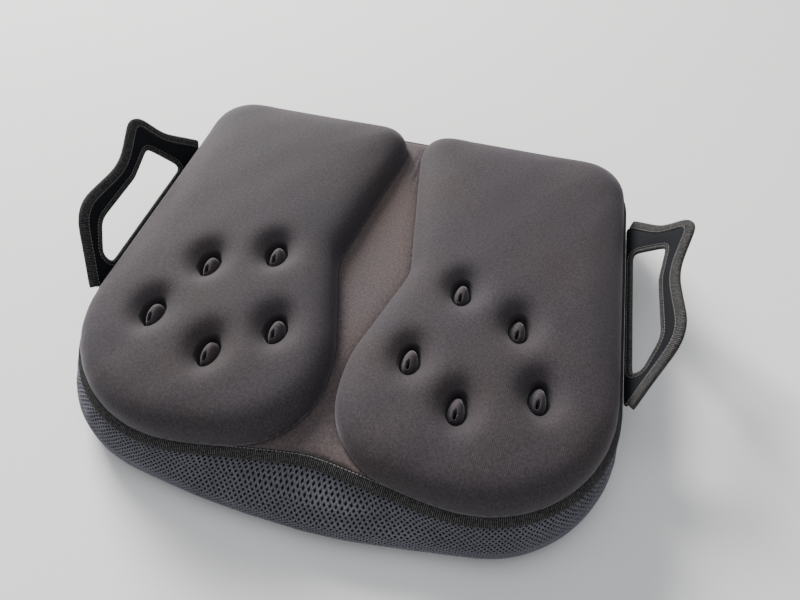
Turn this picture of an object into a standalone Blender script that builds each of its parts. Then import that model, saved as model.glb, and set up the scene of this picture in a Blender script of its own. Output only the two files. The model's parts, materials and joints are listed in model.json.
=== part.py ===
"""Seat cushion: two moulded pads on a foam base, with a mesh side band, folding side handles and a zip.

Metres, +Z up. The origin is under the middle of the cushion, on the surface it lies on; +X is to the
sitter's right when facing the rear edge and +Y points to the rear edge.
"""

import math

import bmesh
import bpy
from mathutils import Vector

# Overall sizes
BASE_WIDTH = 0.442  # across the bulging side band
BASE_DEPTH = 0.416
SEAM_HEIGHT = 0.050  # top panel above the surface that the cushion lies on
GAP = 0.0003  # between pieces that touch on the real cushion

# Side band: how far it bulges past the top seam, and its outline
SIDE_BULGE = 0.001
REAR_BULGE = 0.0065
NOTCH_SETBACK = 0.0355  # from the band's front to the seam's notch on the centre line
CORNER_SETBACK = 0.0035  # the same, where the front seam's line meets the side seam's
NOTCH_RADIUS = 0.090
SEAM_FRONT_RADIUS = 0.112
SEAM_REAR_RADIUS = 0.045
BASE_FRONT_RADIUS = 0.600
BASE_FRONT_RISE = 0.0245  # how far the band's front corners lie behind its middle
BASE_CORNER_RADIUS = 0.105
BASE_REAR_RADIUS = 0.050
FRONT_STEPS = 4  # arc segments of the front, its corners and the rear corners
FRONT_CORNER_STEPS = 10
REAR_CORNER_STEPS = 5
FRONT_SLOPE_ROUNDS = 6  # steps that settle the slope of the front beside its rounded middle
MESH_THICKNESS = 0.003
TURN_UNDER = 0.0045  # how far the mesh curls in at the bottom edge
# Section of the band: shares of its height, of the way out from seam to base, and of the turn-under
BAND_SECTION = (
    (1.0, 0.0, 0.0),
    (0.8, 0.6, 0.0),
    (0.55, 0.95, 0.0),
    (0.3, 1.0, 0.0),
    (0.1, 1.0, 0.33),
    (0.0, 1.0, 1.0),
)

# Panels and core
PANEL_THICKNESS = 0.002
CORE_CLEARANCE = 0.002  # core inside the mesh, and inside the binding

# Ribbed binding tape on the top seam
BINDING_WIDTH = 0.009
BINDING_THICKNESS = 0.0032
BINDING_TILT = math.radians(33)
BINDING_INSET = 0.0035  # middle of the tape inside the seam line
# Corners of the tape's section, as shares of its width and thickness: the outer edge is rounded
TAPE_SECTION = ((-0.5, 0.5), (0.4, 0.5), (0.5, 0.0), (0.4, -0.5), (-0.5, -0.5))

# Pads
PAD_MARGIN = 0.0055  # foot of a pad inside the seam line
PAD_REAR_MARGIN = 0.0035
PAD_HEIGHT = 0.026
PAD_SHOULDER = 0.032  # width of the rounded edge
PAD_ROUNDNESS = 2.5  # 2 is an ellipse, more is squarer
PAD_STEPS = 5
COVER_THICKNESS = 0.002
CHANNEL_REAR = 0.0025  # half width of the channel at its rear end, its widest place and its waist
CHANNEL_WIDE = 0.033
CHANNEL_WAIST = 0.0045
CHANNEL_WIDE_FROM_REAR = 0.187
CHANNEL_WAIST_FROM_REAR = 0.281
CHANNEL_WAIST_LEAN = 0.001  # the waist narrows by this, either way, from its rear to its front
PAD_REAR_INNER_RADIUS = 0.028
CHANNEL_WIDE_RADIUS = 0.045
CHANNEL_WAIST_RADIUS = 0.070
PAD_FRONT_INNER_RADIUS = 0.066
PAD_CORNER_STEPS = (6, 9, 5, 4, 4, 3)  # arc segments, from the front inner corner round to the waist

# Vents: places on the right pad, across from the centre line and back from the band's front
VENT_PLACES = ((0.081, 0.199), (0.131, 0.174), (0.153, 0.117), (0.096, 0.094), (0.054, 0.126))
WELL_HALF_WIDTH = 0.0085
WELL_HALF_LENGTH = 0.0135
WELL_FLOOR = 0.004  # above the top panel
NUB_HEIGHT = 0.009
NUB_SHOULDER = 0.0035
SLIT_HALF_WIDTH = 0.0015
SLIT_HALF_LENGTH = 0.0040
SLIT_FORWARD = 0.0030
OVAL_SIDES = 14

# Side handles, laid flat: out from the fold line, along it from the cushion's middle, radius and arc segments
HANDLE_TILT = math.radians(58)  # raised from flat
HANDLE_REAR_ROOT = 0.138
HANDLE_FRONT_ROOT = -0.084
HANDLE_DIP = (0.039, 0.100, 0.034, 4)
HANDLE_TIP = (0.074, 0.090, 0.010, 6)
HANDLE_WAIST = (0.052, 0.038, 0.060, 4)
HANDLE_BULGE = (0.0585, -0.027, 0.042, 5)
HANDLE_THICKNESS = 0.0024
ROOT_SECTION = (-1.0, -0.5, 0.5, 1.0)  # heights of the rounded root, as shares of half the thickness
HANDLE_BINDING_WIDTH = 0.008
HANDLE_BINDING_THICKNESS = 0.004
HANDLE_BINDING_START = 0.0025  # room at the fold line, so that the handle folds freely
HOLE_CORNERS = (
    (0.0060, 0.088, 0.003),
    (0.0420, 0.072, 0.004),
    (0.0340, 0.038, 0.030),
    (0.0345, -0.020, 0.020),
    (0.0165, -0.044, 0.006),
    (0.0060, -0.044, 0.003),
)
HOLE_CORNER_STEPS = 3
HOLE_TRIM_WIDTH = 0.003
HOLE_TRIM_THICKNESS = 0.003

# Zip in the rear of the side band
ZIP_HEIGHT = 0.0245  # middle of the teeth above the surface that the cushion lies on
ZIP_CORNER_MARGIN = 0.021  # end of the zip from the start of the band's rounded rear corner
ZIP_WINDOW = 0.0070  # half height of the opening in the mesh
WINDOW_CUTTER_DEPTH = 0.012
ZIP_PLAY = 0.0005  # half the gap between the two rows of teeth, where the slider's web runs
TEETH_HEIGHT = 0.0018
TEETH_THICKNESS = 0.002
TAPE_THICKNESS = 0.0008
STOP_INSET = 0.004  # middle of an end stop from the end of the opening
STOP_WIDTH = 0.0024
STOP_THICKNESS = 0.0026
SLIDER_LENGTH = 0.0085
SLIDER_HALF_HEIGHT = 0.0036
SLIDER_PLATE = 0.0012
LUG_HALF_WIDTH = 0.0010
LUG_HALF_HEIGHT = 0.0018
LUG_REACH = 0.0037
PULL_AXIS_REACH = 0.0019  # pull's axis in front of the slider's plate
PULL_BAR = 0.0010
PULL_BAR_ROOM = 0.0004
PULL_HALF_WIDTH = 0.0026
PULL_EYE_HALF_WIDTH = 0.0014
PULL_EYE_LENGTH = 0.0032
PULL_LENGTH = 0.0200

SHARP_RADIUS = 0.0005  # of a corner that is as good as sharp
SHARP_ANGLE = math.radians(35)  # edges that turn further than this are drawn sharp

# Derived places
ZIP_PROUD = TEETH_THICKNESS / 2 + GAP + SLIDER_PLATE + LUG_REACH - MESH_THICKNESS / 2
BASE_FRONT = -(BASE_DEPTH + ZIP_PROUD) / 2
BASE_REAR = BASE_FRONT + BASE_DEPTH
BASE_HALF = BASE_WIDTH / 2
SEAM_HALF = BASE_HALF - SIDE_BULGE
SEAM_REAR = BASE_REAR - REAR_BULGE
PAD_BOTTOM = SEAM_HEIGHT + GAP
BAND_BOTTOM = PANEL_THICKNESS + GAP
ZIP_HALF_WIDTH = BASE_HALF - BASE_REAR_RADIUS - ZIP_CORNER_MARGIN
# Middle of the tape below the top panel, with its inner edge level with the panel
BINDING_DROP = (BINDING_WIDTH * math.sin(BINDING_TILT) + BINDING_THICKNESS * math.cos(BINDING_TILT)) / 2
PAD_FRONT_OUTER_RADIUS = SEAM_FRONT_RADIUS - PAD_MARGIN
PAD_REAR_OUTER_RADIUS = SEAM_REAR_RADIUS - PAD_REAR_MARGIN

# Colour, roughness and metallic value of each finish
FINISHES = {
    "pad_fabric": ((0.028, 0.025, 0.027), 0.72, 0.0),
    "channel_fabric": ((0.036, 0.031, 0.031), 0.75, 0.0),
    "binding_tape": ((0.014, 0.014, 0.014), 0.65, 0.0),
    "spacer_mesh": ((0.017, 0.017, 0.022), 0.80, 0.0),
    "handle_fabric": ((0.012, 0.012, 0.015), 0.70, 0.0),
    "vent_nub": ((0.016, 0.015, 0.016), 0.45, 0.0),
    "foam": ((0.42, 0.38, 0.22), 0.90, 0.0),
    "grip_fabric": ((0.015, 0.015, 0.015), 0.85, 0.0),
    "zip_tape": ((0.013, 0.013, 0.014), 0.80, 0.0),
    "zip_teeth": ((0.018, 0.018, 0.018), 0.35, 0.0),
    "zip_metal": ((0.05, 0.05, 0.052), 0.40, 0.9),
}


def clear_scene():
    for obj in list(bpy.data.objects):
        bpy.data.objects.remove(obj, do_unlink=True)


def finish(name):
    material = bpy.data.materials.get(name)
    if material is None:
        colour, roughness, metallic = FINISHES[name]
        material = bpy.data.materials.new(name)
        material.use_nodes = True
        shader = material.node_tree.nodes["Principled BSDF"]
        shader.inputs["Base Color"].default_value = (*colour, 1.0)
        shader.inputs["Roughness"].default_value = roughness
        shader.inputs["Metallic"].default_value = metallic
    return material


# Outlines: closed lists of corners (x, y, radius, arc segments), counter-clockwise


def side_normals(corners):
    """The inward normal of each side, the side after a corner having that corner's number."""
    normals = []
    for corner, following in zip(corners, corners[1:] + corners[:1]):
        along = (Vector(following[:2]) - Vector(corner[:2])).normalized()
        normals.append(Vector((-along.y, along.x)))
    return normals


def moved_in(corners, distances):
    """The outline with each side moved inwards by its distance, or all of them by one distance."""
    if not isinstance(distances, (list, tuple)):
        distances = [distances] * len(corners)
    normals = side_normals(corners)
    result = []
    for number, (x, y, radius, segments) in enumerate(corners):
        before, after = normals[number - 1], normals[number]
        d_before, d_after = distances[number - 1], distances[number]
        cross = before.x * after.y - before.y * after.x
        shift_x = (d_before * after.y - d_after * before.y) / cross
        shift_y = (d_after * before.x - d_before * after.x) / cross
        turn = (d_before + d_after) / 2
        new_radius = radius - turn if cross > 0 else radius + turn
        result.append((x + shift_x, y + shift_y, max(new_radius, SHARP_RADIUS), segments))
    return result


def half_angles(corners):
    """Half the angle between the two sides that meet at each corner."""
    result = []
    for number, corner in enumerate(corners):
        back = Vector(corners[number - 1][:2]) - Vector(corner[:2])
        ahead = Vector(corners[(number + 1) % len(corners)][:2]) - Vector(corner[:2])
        result.append(back.angle(ahead) / 2)
    return result


def fitted_radii(corners):
    """The corners' radii, smaller where two arcs would need more than the side between them."""
    angles = half_angles(corners)
    reaches = [corner[2] / math.tan(angle) for corner, angle in zip(corners, angles)]
    shares = [1.0] * len(corners)
    for number in range(len(corners)):
        before = number - 1
        side = (Vector(corners[number][:2]) - Vector(corners[before][:2])).length
        share = side / (reaches[before] + reaches[number])
        shares[before] = min(shares[before], share)
        shares[number] = min(shares[number], share)
    return [corner[2] * share for corner, share in zip(corners, shares)]


def outline_points(corners):
    """Points of the outline, each corner an arc."""
    points = []
    count = len(corners)
    angles = half_angles(corners)
    radii = fitted_radii(corners)
    for number, (x, y, _, segments) in enumerate(corners):
        corner = Vector((x, y))
        back = (Vector(corners[number - 1][:2]) - corner).normalized()
        ahead = (Vector(corners[(number + 1) % count][:2]) - corner).normalized()
        half_angle = angles[number]
        centre = corner + (back + ahead).normalized() * radii[number] / math.sin(half_angle)
        start = corner + back * radii[number] / math.tan(half_angle)
        turn = math.pi - 2 * half_angle
        if back.x * ahead.y - back.y * ahead.x > 0:
            turn = -turn
        spoke = start - centre
        for step in range(segments + 1):
            angle = turn * step / segments
            points.append(
                centre
                + Vector(
                    (
                        spoke.x * math.cos(angle) - spoke.y * math.sin(angle),
                        spoke.x * math.sin(angle) + spoke.y * math.cos(angle),
                    )
                )
            )
    return points


def mirrored(corners):
    """The outline on the other side of the centre line."""
    return [(-x, y, radius, segments) for x, y, radius, segments in reversed(corners)]


def both_sides(half):
    """A whole outline from its right half, which runs from the front centre to the rear."""
    return half + [(-x, y, radius, segments) for x, y, radius, segments in reversed(half[1:])]


def seam_outline():
    return both_sides(
        [
            (0.0, BASE_FRONT + NOTCH_SETBACK, NOTCH_RADIUS, FRONT_STEPS),
            (SEAM_HALF, BASE_FRONT + CORNER_SETBACK, SEAM_FRONT_RADIUS, FRONT_CORNER_STEPS),
            (SEAM_HALF, SEAM_REAR, SEAM_REAR_RADIUS, REAR_CORNER_STEPS),
        ]
    )


def base_outline():
    crown = 0.0
    for _ in range(FRONT_SLOPE_ROUNDS):
        slope = math.atan2(BASE_FRONT_RISE + crown, BASE_HALF)
        crown = BASE_FRONT_RADIUS * (1 / math.cos(slope) - 1)
    return both_sides(
        [
            (0.0, BASE_FRONT - crown, BASE_FRONT_RADIUS, FRONT_STEPS),
            (BASE_HALF, BASE_FRONT + BASE_FRONT_RISE, BASE_CORNER_RADIUS, FRONT_CORNER_STEPS),
            (BASE_HALF, BASE_REAR, BASE_REAR_RADIUS, REAR_CORNER_STEPS),
        ]
    )


def pad_outline():
    """Foot of the right pad."""
    slope = (NOTCH_SETBACK - CORNER_SETBACK) / SEAM_HALF
    front = BASE_FRONT + NOTCH_SETBACK + PAD_MARGIN
    rear = SEAM_REAR - PAD_REAR_MARGIN
    outer = SEAM_HALF - PAD_MARGIN
    corners = [
        (CHANNEL_WAIST - CHANNEL_WAIST_LEAN, front - slope * CHANNEL_WAIST, PAD_FRONT_INNER_RADIUS),
        (outer, front - slope * outer, PAD_FRONT_OUTER_RADIUS),
        (outer, rear, PAD_REAR_OUTER_RADIUS),
        (CHANNEL_REAR, rear, PAD_REAR_INNER_RADIUS),
        (CHANNEL_WIDE, rear - CHANNEL_WIDE_FROM_REAR, CHANNEL_WIDE_RADIUS),
        (CHANNEL_WAIST + CHANNEL_WAIST_LEAN, rear - CHANNEL_WAIST_FROM_REAR, CHANNEL_WAIST_RADIUS),
    ]
    return [(*corner, steps) for corner, steps in zip(corners, PAD_CORNER_STEPS)]


def oval_points(centre, half_width, half_length):
    x, y = centre
    points = []
    for number in range(OVAL_SIDES):
        angle = 2 * math.pi * number / OVAL_SIDES
        points.append(Vector((x + half_width * math.cos(angle), y + half_length * math.sin(angle))))
    return points


def box_points(low, high):
    return [Vector(p) for p in ((low[0], low[1]), (high[0], low[1]), (high[0], high[1]), (low[0], high[1]))]


# Solids


def new_object(name, mesh, material_name, parent=None):
    obj = bpy.data.objects.new(name, mesh)
    bpy.context.scene.collection.objects.link(obj)
    if material_name is None:
        obj.hide_render = True
        obj.display_type = "WIRE"
    else:
        mesh.materials.append(finish(material_name))
        mesh.shade_smooth()
        mesh.set_sharp_from_angle(angle=SHARP_ANGLE)
    obj.parent = parent
    return obj


def add_split_quad(mesh_data, a, b, c, d):
    """Two triangles with the shorter diagonal, so that twisted neighbours bend the same way."""
    if (a.co - c.co).length < (b.co - d.co).length:
        mesh_data.faces.new((a, b, c))
        mesh_data.faces.new((a, c, d))
    else:
        mesh_data.faces.new((a, b, d))
        mesh_data.faces.new((b, c, d))


def lofted_mesh(name, stacks, ring=False):
    """One closed body for each stack of loops of (x, y, z): capped at both ends, or closed into a ring."""
    mesh_data = bmesh.new()
    for loops in stacks:
        rows = [[mesh_data.verts.new(point) for point in loop] for loop in loops]
        pairs = list(zip(rows, rows[1:]))
        if ring:
            pairs.append((rows[-1], rows[0]))
        for lower, upper in pairs:
            for number in range(len(lower)):
                following = (number + 1) % len(lower)
                add_split_quad(mesh_data, lower[number], lower[following], upper[following], upper[number])
        if not ring:
            mesh_data.faces.new(reversed(rows[0]))
            mesh_data.faces.new(rows[-1])
    bmesh.ops.recalc_face_normals(mesh_data, faces=mesh_data.faces)
    mesh = bpy.data.meshes.new(name)
    mesh_data.to_mesh(mesh)
    mesh_data.free()
    return mesh


def at_height(points, z):
    return [(point.x, point.y, z) for point in points]


def prism(points, low, high):
    return [at_height(points, low), at_height(points, high)]


def cut(obj, cutter):
    modifier = obj.modifiers.new("Cut", "BOOLEAN")
    modifier.operation = "DIFFERENCE"
    modifier.object = cutter


def hinge_empty(name, place, turn):
    empty = bpy.data.objects.new(name, None)
    bpy.context.scene.collection.objects.link(empty)
    empty.location = place
    empty.rotation_euler = turn
    return empty


# Body of the cushion


def binding_section():
    """Corners of the tape's section: in from the seam line, and up from the top panel."""
    corners = []
    for along, across in TAPE_SECTION:
        out = along * BINDING_WIDTH
        up = across * BINDING_THICKNESS
        outward = out * math.cos(BINDING_TILT) + up * math.sin(BINDING_TILT)
        rise = -BINDING_DROP - out * math.sin(BINDING_TILT) + up * math.cos(BINDING_TILT)
        corners.append((BINDING_INSET - outward, rise))
    return corners


def binding_inner_edge():
    """How far the tape reaches in from the seam line."""
    return max(inset for inset, _ in binding_section())


def band_top():
    """Top edge of the mesh, just under the tape."""
    return SEAM_HEIGHT + min(rise for _, rise in binding_section()) - GAP


def blended(seam, base, share):
    return [a.lerp(b, share) for a, b in zip(outline_points(seam), outline_points(base))]


def band_loops(inset):
    """Loops down the bulging side, this far inside the outer face of the mesh."""
    seam = moved_in(seam_outline(), inset)
    loops = []
    for rise, spread, tuck in BAND_SECTION:
        base = moved_in(base_outline(), inset + tuck * TURN_UNDER)
        height = BAND_BOTTOM + rise * (band_top() - BAND_BOTTOM)
        loops.append(at_height(blended(seam, base, spread), height))
    return loops


def make_gusset():
    outer = band_loops(0.0)
    inner = band_loops(MESH_THICKNESS)
    mesh = lofted_mesh("mesh_gusset", [outer + inner[::-1]], ring=True)
    gusset = new_object("mesh_gusset", mesh, "spacer_mesh")
    window = box_points(
        (-ZIP_HALF_WIDTH, BASE_REAR - WINDOW_CUTTER_DEPTH), (ZIP_HALF_WIDTH, BASE_REAR + MESH_THICKNESS)
    )
    cutter_loops = prism(window, ZIP_HEIGHT - ZIP_WINDOW, ZIP_HEIGHT + ZIP_WINDOW)
    cut(gusset, new_object("zip_window_cutter", lofted_mesh("zip_window_cutter", [cutter_loops]), None))


def make_panels_and_core():
    top = outline_points(moved_in(seam_outline(), binding_inner_edge() + GAP))
    loops = prism(top, SEAM_HEIGHT - PANEL_THICKNESS, SEAM_HEIGHT)
    new_object("top_panel", lofted_mesh("top_panel", [loops]), "channel_fabric")

    bottom = outline_points(moved_in(base_outline(), TURN_UNDER))
    loops = prism(bottom, 0.0, PANEL_THICKNESS)
    new_object("bottom_panel", lofted_mesh("bottom_panel", [loops]), "grip_fabric")

    core_top = SEAM_HEIGHT - PANEL_THICKNESS - GAP
    inset = MESH_THICKNESS + CORE_CLEARANCE
    core_outline = moved_in(seam_outline(), binding_inner_edge() + CORE_CLEARANCE)
    loops = [at_height(outline_points(core_outline), core_top)]
    loops += band_loops(inset)
    new_object("base_foam_core", lofted_mesh("base_foam_core", [loops]), "foam")


def make_top_binding():
    loops = []
    for inset, rise in binding_section():
        loops.append(at_height(outline_points(moved_in(seam_outline(), inset)), SEAM_HEIGHT + rise))
    new_object("top_binding", lofted_mesh("top_binding", [loops], ring=True), "binding_tape")


# Pads


def dome_loops(foot, height, shoulder):
    """Loops from the foot of a pad up its rounded edge."""
    loops = []
    for step in range(PAD_STEPS + 1):
        angle = math.pi / 2 * step / PAD_STEPS
        inwards = shoulder * (1 - math.cos(angle) ** (2 / PAD_ROUNDNESS))
        rise = height * math.sin(angle) ** (2 / PAD_ROUNDNESS)
        loops.append(at_height(outline_points(moved_in(foot, inwards)), PAD_BOTTOM + rise))
    return loops


def side_vents(side):
    return [(side * x, BASE_FRONT + y) for x, y in VENT_PLACES]


def well_cutter(name, side):
    stacks = []
    for centre in side_vents(side):
        oval = oval_points(centre, WELL_HALF_WIDTH, WELL_HALF_LENGTH)
        stacks.append(prism(oval, SEAM_HEIGHT + WELL_FLOOR, PAD_BOTTOM + PAD_HEIGHT + WELL_FLOOR))
    return new_object(name, lofted_mesh(name, stacks), None)


def make_nub(name, centre):
    low = SEAM_HEIGHT + WELL_FLOOR + GAP
    half_width = WELL_HALF_WIDTH - GAP
    half_length = WELL_HALF_LENGTH - GAP
    slit_place = (centre[0], centre[1] - SLIT_FORWARD)
    slit = oval_points(slit_place, SLIT_HALF_WIDTH, SLIT_HALF_LENGTH)
    outer = oval_points(centre, half_width, half_length)
    crown = oval_points(centre, half_width - NUB_SHOULDER, half_length - NUB_SHOULDER)
    loops = [
        at_height(outer, low),
        at_height(outer, low + NUB_HEIGHT - NUB_SHOULDER),
        at_height(crown, low + NUB_HEIGHT),
        at_height(slit, low + NUB_HEIGHT),
        at_height(slit, low),
    ]
    new_object(name, lofted_mesh(name, [loops], ring=True), "vent_nub")


def make_pad(side_name, side):
    foot = pad_outline() if side > 0 else mirrored(pad_outline())
    outer = dome_loops(foot, PAD_HEIGHT, PAD_SHOULDER)
    inner_foot = moved_in(foot, COVER_THICKNESS)
    inner = dome_loops(inner_foot, PAD_HEIGHT - COVER_THICKNESS, PAD_SHOULDER - COVER_THICKNESS)
    foam_foot = moved_in(foot, COVER_THICKNESS + GAP)
    foam_shoulder = PAD_SHOULDER - COVER_THICKNESS - GAP
    foam = dome_loops(foam_foot, PAD_HEIGHT - COVER_THICKNESS - GAP, foam_shoulder)
    cutter = well_cutter(side_name + "_well_cutter", side)

    name = side_name + "_pad_cover"
    cut(new_object(name, lofted_mesh(name, [inner[::-1] + outer]), "pad_fabric"), cutter)
    name = side_name + "_pad_foam"
    cut(new_object(name, lofted_mesh(name, [foam]), "foam"), cutter)
    for number, centre in enumerate(side_vents(side), start=1):
        make_nub(f"{side_name}_vent_nub_{number}", centre)


# Handles


def handle_corners():
    return [
        (0.0, HANDLE_FRONT_ROOT, SHARP_RADIUS, 1),
        HANDLE_BULGE,
        HANDLE_WAIST,
        HANDLE_TIP,
        HANDLE_DIP,
        (0.0, HANDLE_REAR_ROOT, SHARP_RADIUS, 1),
    ]


def handle_outline(root, edge):
    """The flat handle's outline, this far in at the fold line and along its free edge."""
    sides = len(handle_corners())
    return moved_in(handle_corners(), [edge] * (sides - 1) + [root])


def hole_outline(outwards):
    corners = [(out, y, radius, HOLE_CORNER_STEPS) for out, y, radius in reversed(HOLE_CORNERS)]
    return moved_in(corners, -outwards)


def turned(points, side):
    """Flat handle points, on the right or mirrored to the left."""
    return points if side > 0 else [Vector((-point.x, point.y)) for point in reversed(points)]


def handle_panel_loops(side):
    """Loops through the panel's thickness. Its root is rounded about the fold line."""
    loops = []
    for share in ROOT_SECTION:
        z = share * HANDLE_THICKNESS / 2
        root = -math.sqrt((HANDLE_THICKNESS / 2) ** 2 - z**2)
        points = outline_points(handle_outline(root, HANDLE_BINDING_WIDTH + GAP))
        loops.append(at_height(turned(points, side), z))
    return loops


def make_handle(side_name, side):
    section = binding_section()
    edge_inset, edge_rise = section[1]
    reach = HANDLE_THICKNESS / 2 + GAP
    fold_x = SEAM_HALF - edge_inset + reach * math.cos(HANDLE_TILT)
    fold_z = SEAM_HEIGHT + edge_rise + reach * math.sin(HANDLE_TILT)
    turn = (0.0, -side * HANDLE_TILT, 0.0)
    fold = hinge_empty(side_name + "_handle_fold", (side * fold_x, 0.0, fold_z), turn)

    name = side_name + "_handle_panel"
    panel = new_object(name, lofted_mesh(name, [handle_panel_loops(side)]), "handle_fabric", fold)
    hole_points = turned(outline_points(hole_outline(HOLE_TRIM_WIDTH + GAP)), side)
    name = side_name + "_hole_cutter"
    cutter_loops = prism(hole_points, -2 * HANDLE_THICKNESS, 2 * HANDLE_THICKNESS)
    cut(panel, new_object(name, lofted_mesh(name, [cutter_loops]), None, fold))

    # The first and last points of each outline are at the fold line, where the tape ends.
    outer = outline_points(handle_outline(HANDLE_BINDING_START, 0.0))[1:-1]
    inner = outline_points(handle_outline(HANDLE_BINDING_START, HANDLE_BINDING_WIDTH))[1:-1]
    tape = turned(outer + inner[::-1], side)
    tape_loops = prism(tape, -HANDLE_BINDING_THICKNESS / 2, HANDLE_BINDING_THICKNESS / 2)
    name = side_name + "_handle_binding"
    new_object(name, lofted_mesh(name, [tape_loops]), "binding_tape", fold)

    ring_outer = turned(outline_points(hole_outline(HOLE_TRIM_WIDTH)), side)
    ring_inner = turned(outline_points(hole_outline(0.0)), side)
    half = HOLE_TRIM_THICKNESS / 2
    trim_loops = [
        at_height(ring_outer, -half),
        at_height(ring_outer, half),
        at_height(ring_inner, half),
        at_height(ring_inner, -half),
    ]
    name = side_name + "_hand_hole_trim"
    new_object(name, lofted_mesh(name, [trim_loops], ring=True), "binding_tape", fold)


# Zip


def zip_plane():
    return BASE_REAR - MESH_THICKNESS / 2


def make_block(name, low, high, material_name, parent=None):
    loops = prism(box_points(low, high), low[2], high[2])
    return new_object(name, lofted_mesh(name, [loops]), material_name, parent)


def make_zip_strips():
    y = zip_plane()
    tape_inner = ZIP_PLAY + TEETH_HEIGHT + GAP
    tape_outer = ZIP_WINDOW - GAP
    tape_end = ZIP_HALF_WIDTH - GAP
    teeth_end = ZIP_HALF_WIDTH - STOP_INSET - STOP_WIDTH / 2 - GAP
    for row, sign in (("upper", 1), ("lower", -1)):
        for part, inner, outer, end, thickness in (
            ("tape", tape_inner, tape_outer, tape_end, TAPE_THICKNESS),
            ("teeth", ZIP_PLAY, ZIP_PLAY + TEETH_HEIGHT, teeth_end, TEETH_THICKNESS),
        ):
            heights = sorted((ZIP_HEIGHT + sign * inner, ZIP_HEIGHT + sign * outer))
            low = (-end, y - thickness / 2, heights[0])
            high = (end, y + thickness / 2, heights[1])
            make_block(f"zip_{part}_{row}", low, high, "zip_" + part)
    for side_name, side in (("left", -1), ("right", 1)):
        x = side * (ZIP_HALF_WIDTH - STOP_INSET)
        half_height = ZIP_PLAY + TEETH_HEIGHT
        low = (x - STOP_WIDTH / 2, y - STOP_THICKNESS / 2, ZIP_HEIGHT - half_height)
        high = (x + STOP_WIDTH / 2, y + STOP_THICKNESS / 2, ZIP_HEIGHT + half_height)
        make_block("zip_stop_" + side_name, low, high, "zip_metal")


def make_slider():
    """Front and back plates joined by a thin web that runs between the rows of teeth, with a lug for the pull."""
    stop_face = ZIP_HALF_WIDTH - STOP_INSET - STOP_WIDTH / 2
    x_middle = stop_face - GAP - SLIDER_LENGTH / 2
    origin = hinge_empty("zip_slider_place", (x_middle, zip_plane(), ZIP_HEIGHT), (0.0, 0.0, 0.0))
    near = TEETH_THICKNESS / 2 + GAP
    far = near + SLIDER_PLATE
    tall = SLIDER_HALF_HEIGHT
    web = ZIP_PLAY - GAP
    profile = [(far, tall), (near, tall), (near, web)]
    profile += [(-y, z) for y, z in reversed(profile)]
    profile += [(y, -z) for y, z in reversed(profile)]
    loops = []
    for x in (-SLIDER_LENGTH / 2, SLIDER_LENGTH / 2):
        loops.append([(x, y, z) for y, z in profile])
    slider = new_object("zip_slider", lofted_mesh("zip_slider", [loops]), "zip_metal", origin)

    low = (-LUG_HALF_WIDTH, far - SLIDER_PLATE / 2, -LUG_HALF_HEIGHT)
    high = (LUG_HALF_WIDTH, far + LUG_REACH, LUG_HALF_HEIGHT)
    lug = make_block("slider_lug_cutter", low, high, None, origin)
    union = slider.modifiers.new("Lug", "BOOLEAN")
    union.operation = "UNION"
    union.object = lug
    axis = far + PULL_AXIS_REACH
    room = PULL_BAR / 2 + PULL_BAR_ROOM
    low = (-2 * LUG_HALF_WIDTH, axis - room, -room)
    high = (2 * LUG_HALF_WIDTH, axis + room, room)
    cut(slider, make_block("slider_eye_cutter", low, high, None, origin))
    return origin.location + Vector((0.0, axis, 0.0))


def make_pull(place):
    pivot = hinge_empty("zip_pull_pivot", place, (0.0, 0.0, 0.0))
    half = PULL_BAR / 2
    low = (-PULL_HALF_WIDTH, -half, -PULL_LENGTH)
    high = (PULL_HALF_WIDTH, half, half)
    pull = make_block("zip_pull", low, high, "zip_metal", pivot)
    low = (-PULL_EYE_HALF_WIDTH, -2 * half, -PULL_EYE_LENGTH)
    high = (PULL_EYE_HALF_WIDTH, 2 * half, -half)
    cut(pull, make_block("pull_eye_cutter", low, high, None, pivot))


def main():
    clear_scene()
    make_panels_and_core()
    make_gusset()
    make_top_binding()
    for side_name, side in (("left", -1), ("right", 1)):
        make_pad(side_name, side)
        make_handle(side_name, side)
    make_zip_strips()
    make_pull(make_slider())


main()
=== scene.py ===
"""Looks of the seat cushion: knit pads, channel cover, ribbed bindings, spacer mesh, handles and zip.

Metres, +Z up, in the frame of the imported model. Run it as a script in Blender.
"""

import json
import math

import bmesh
import bpy
import numpy as np
from mathutils import Matrix, Vector, geometry


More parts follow.
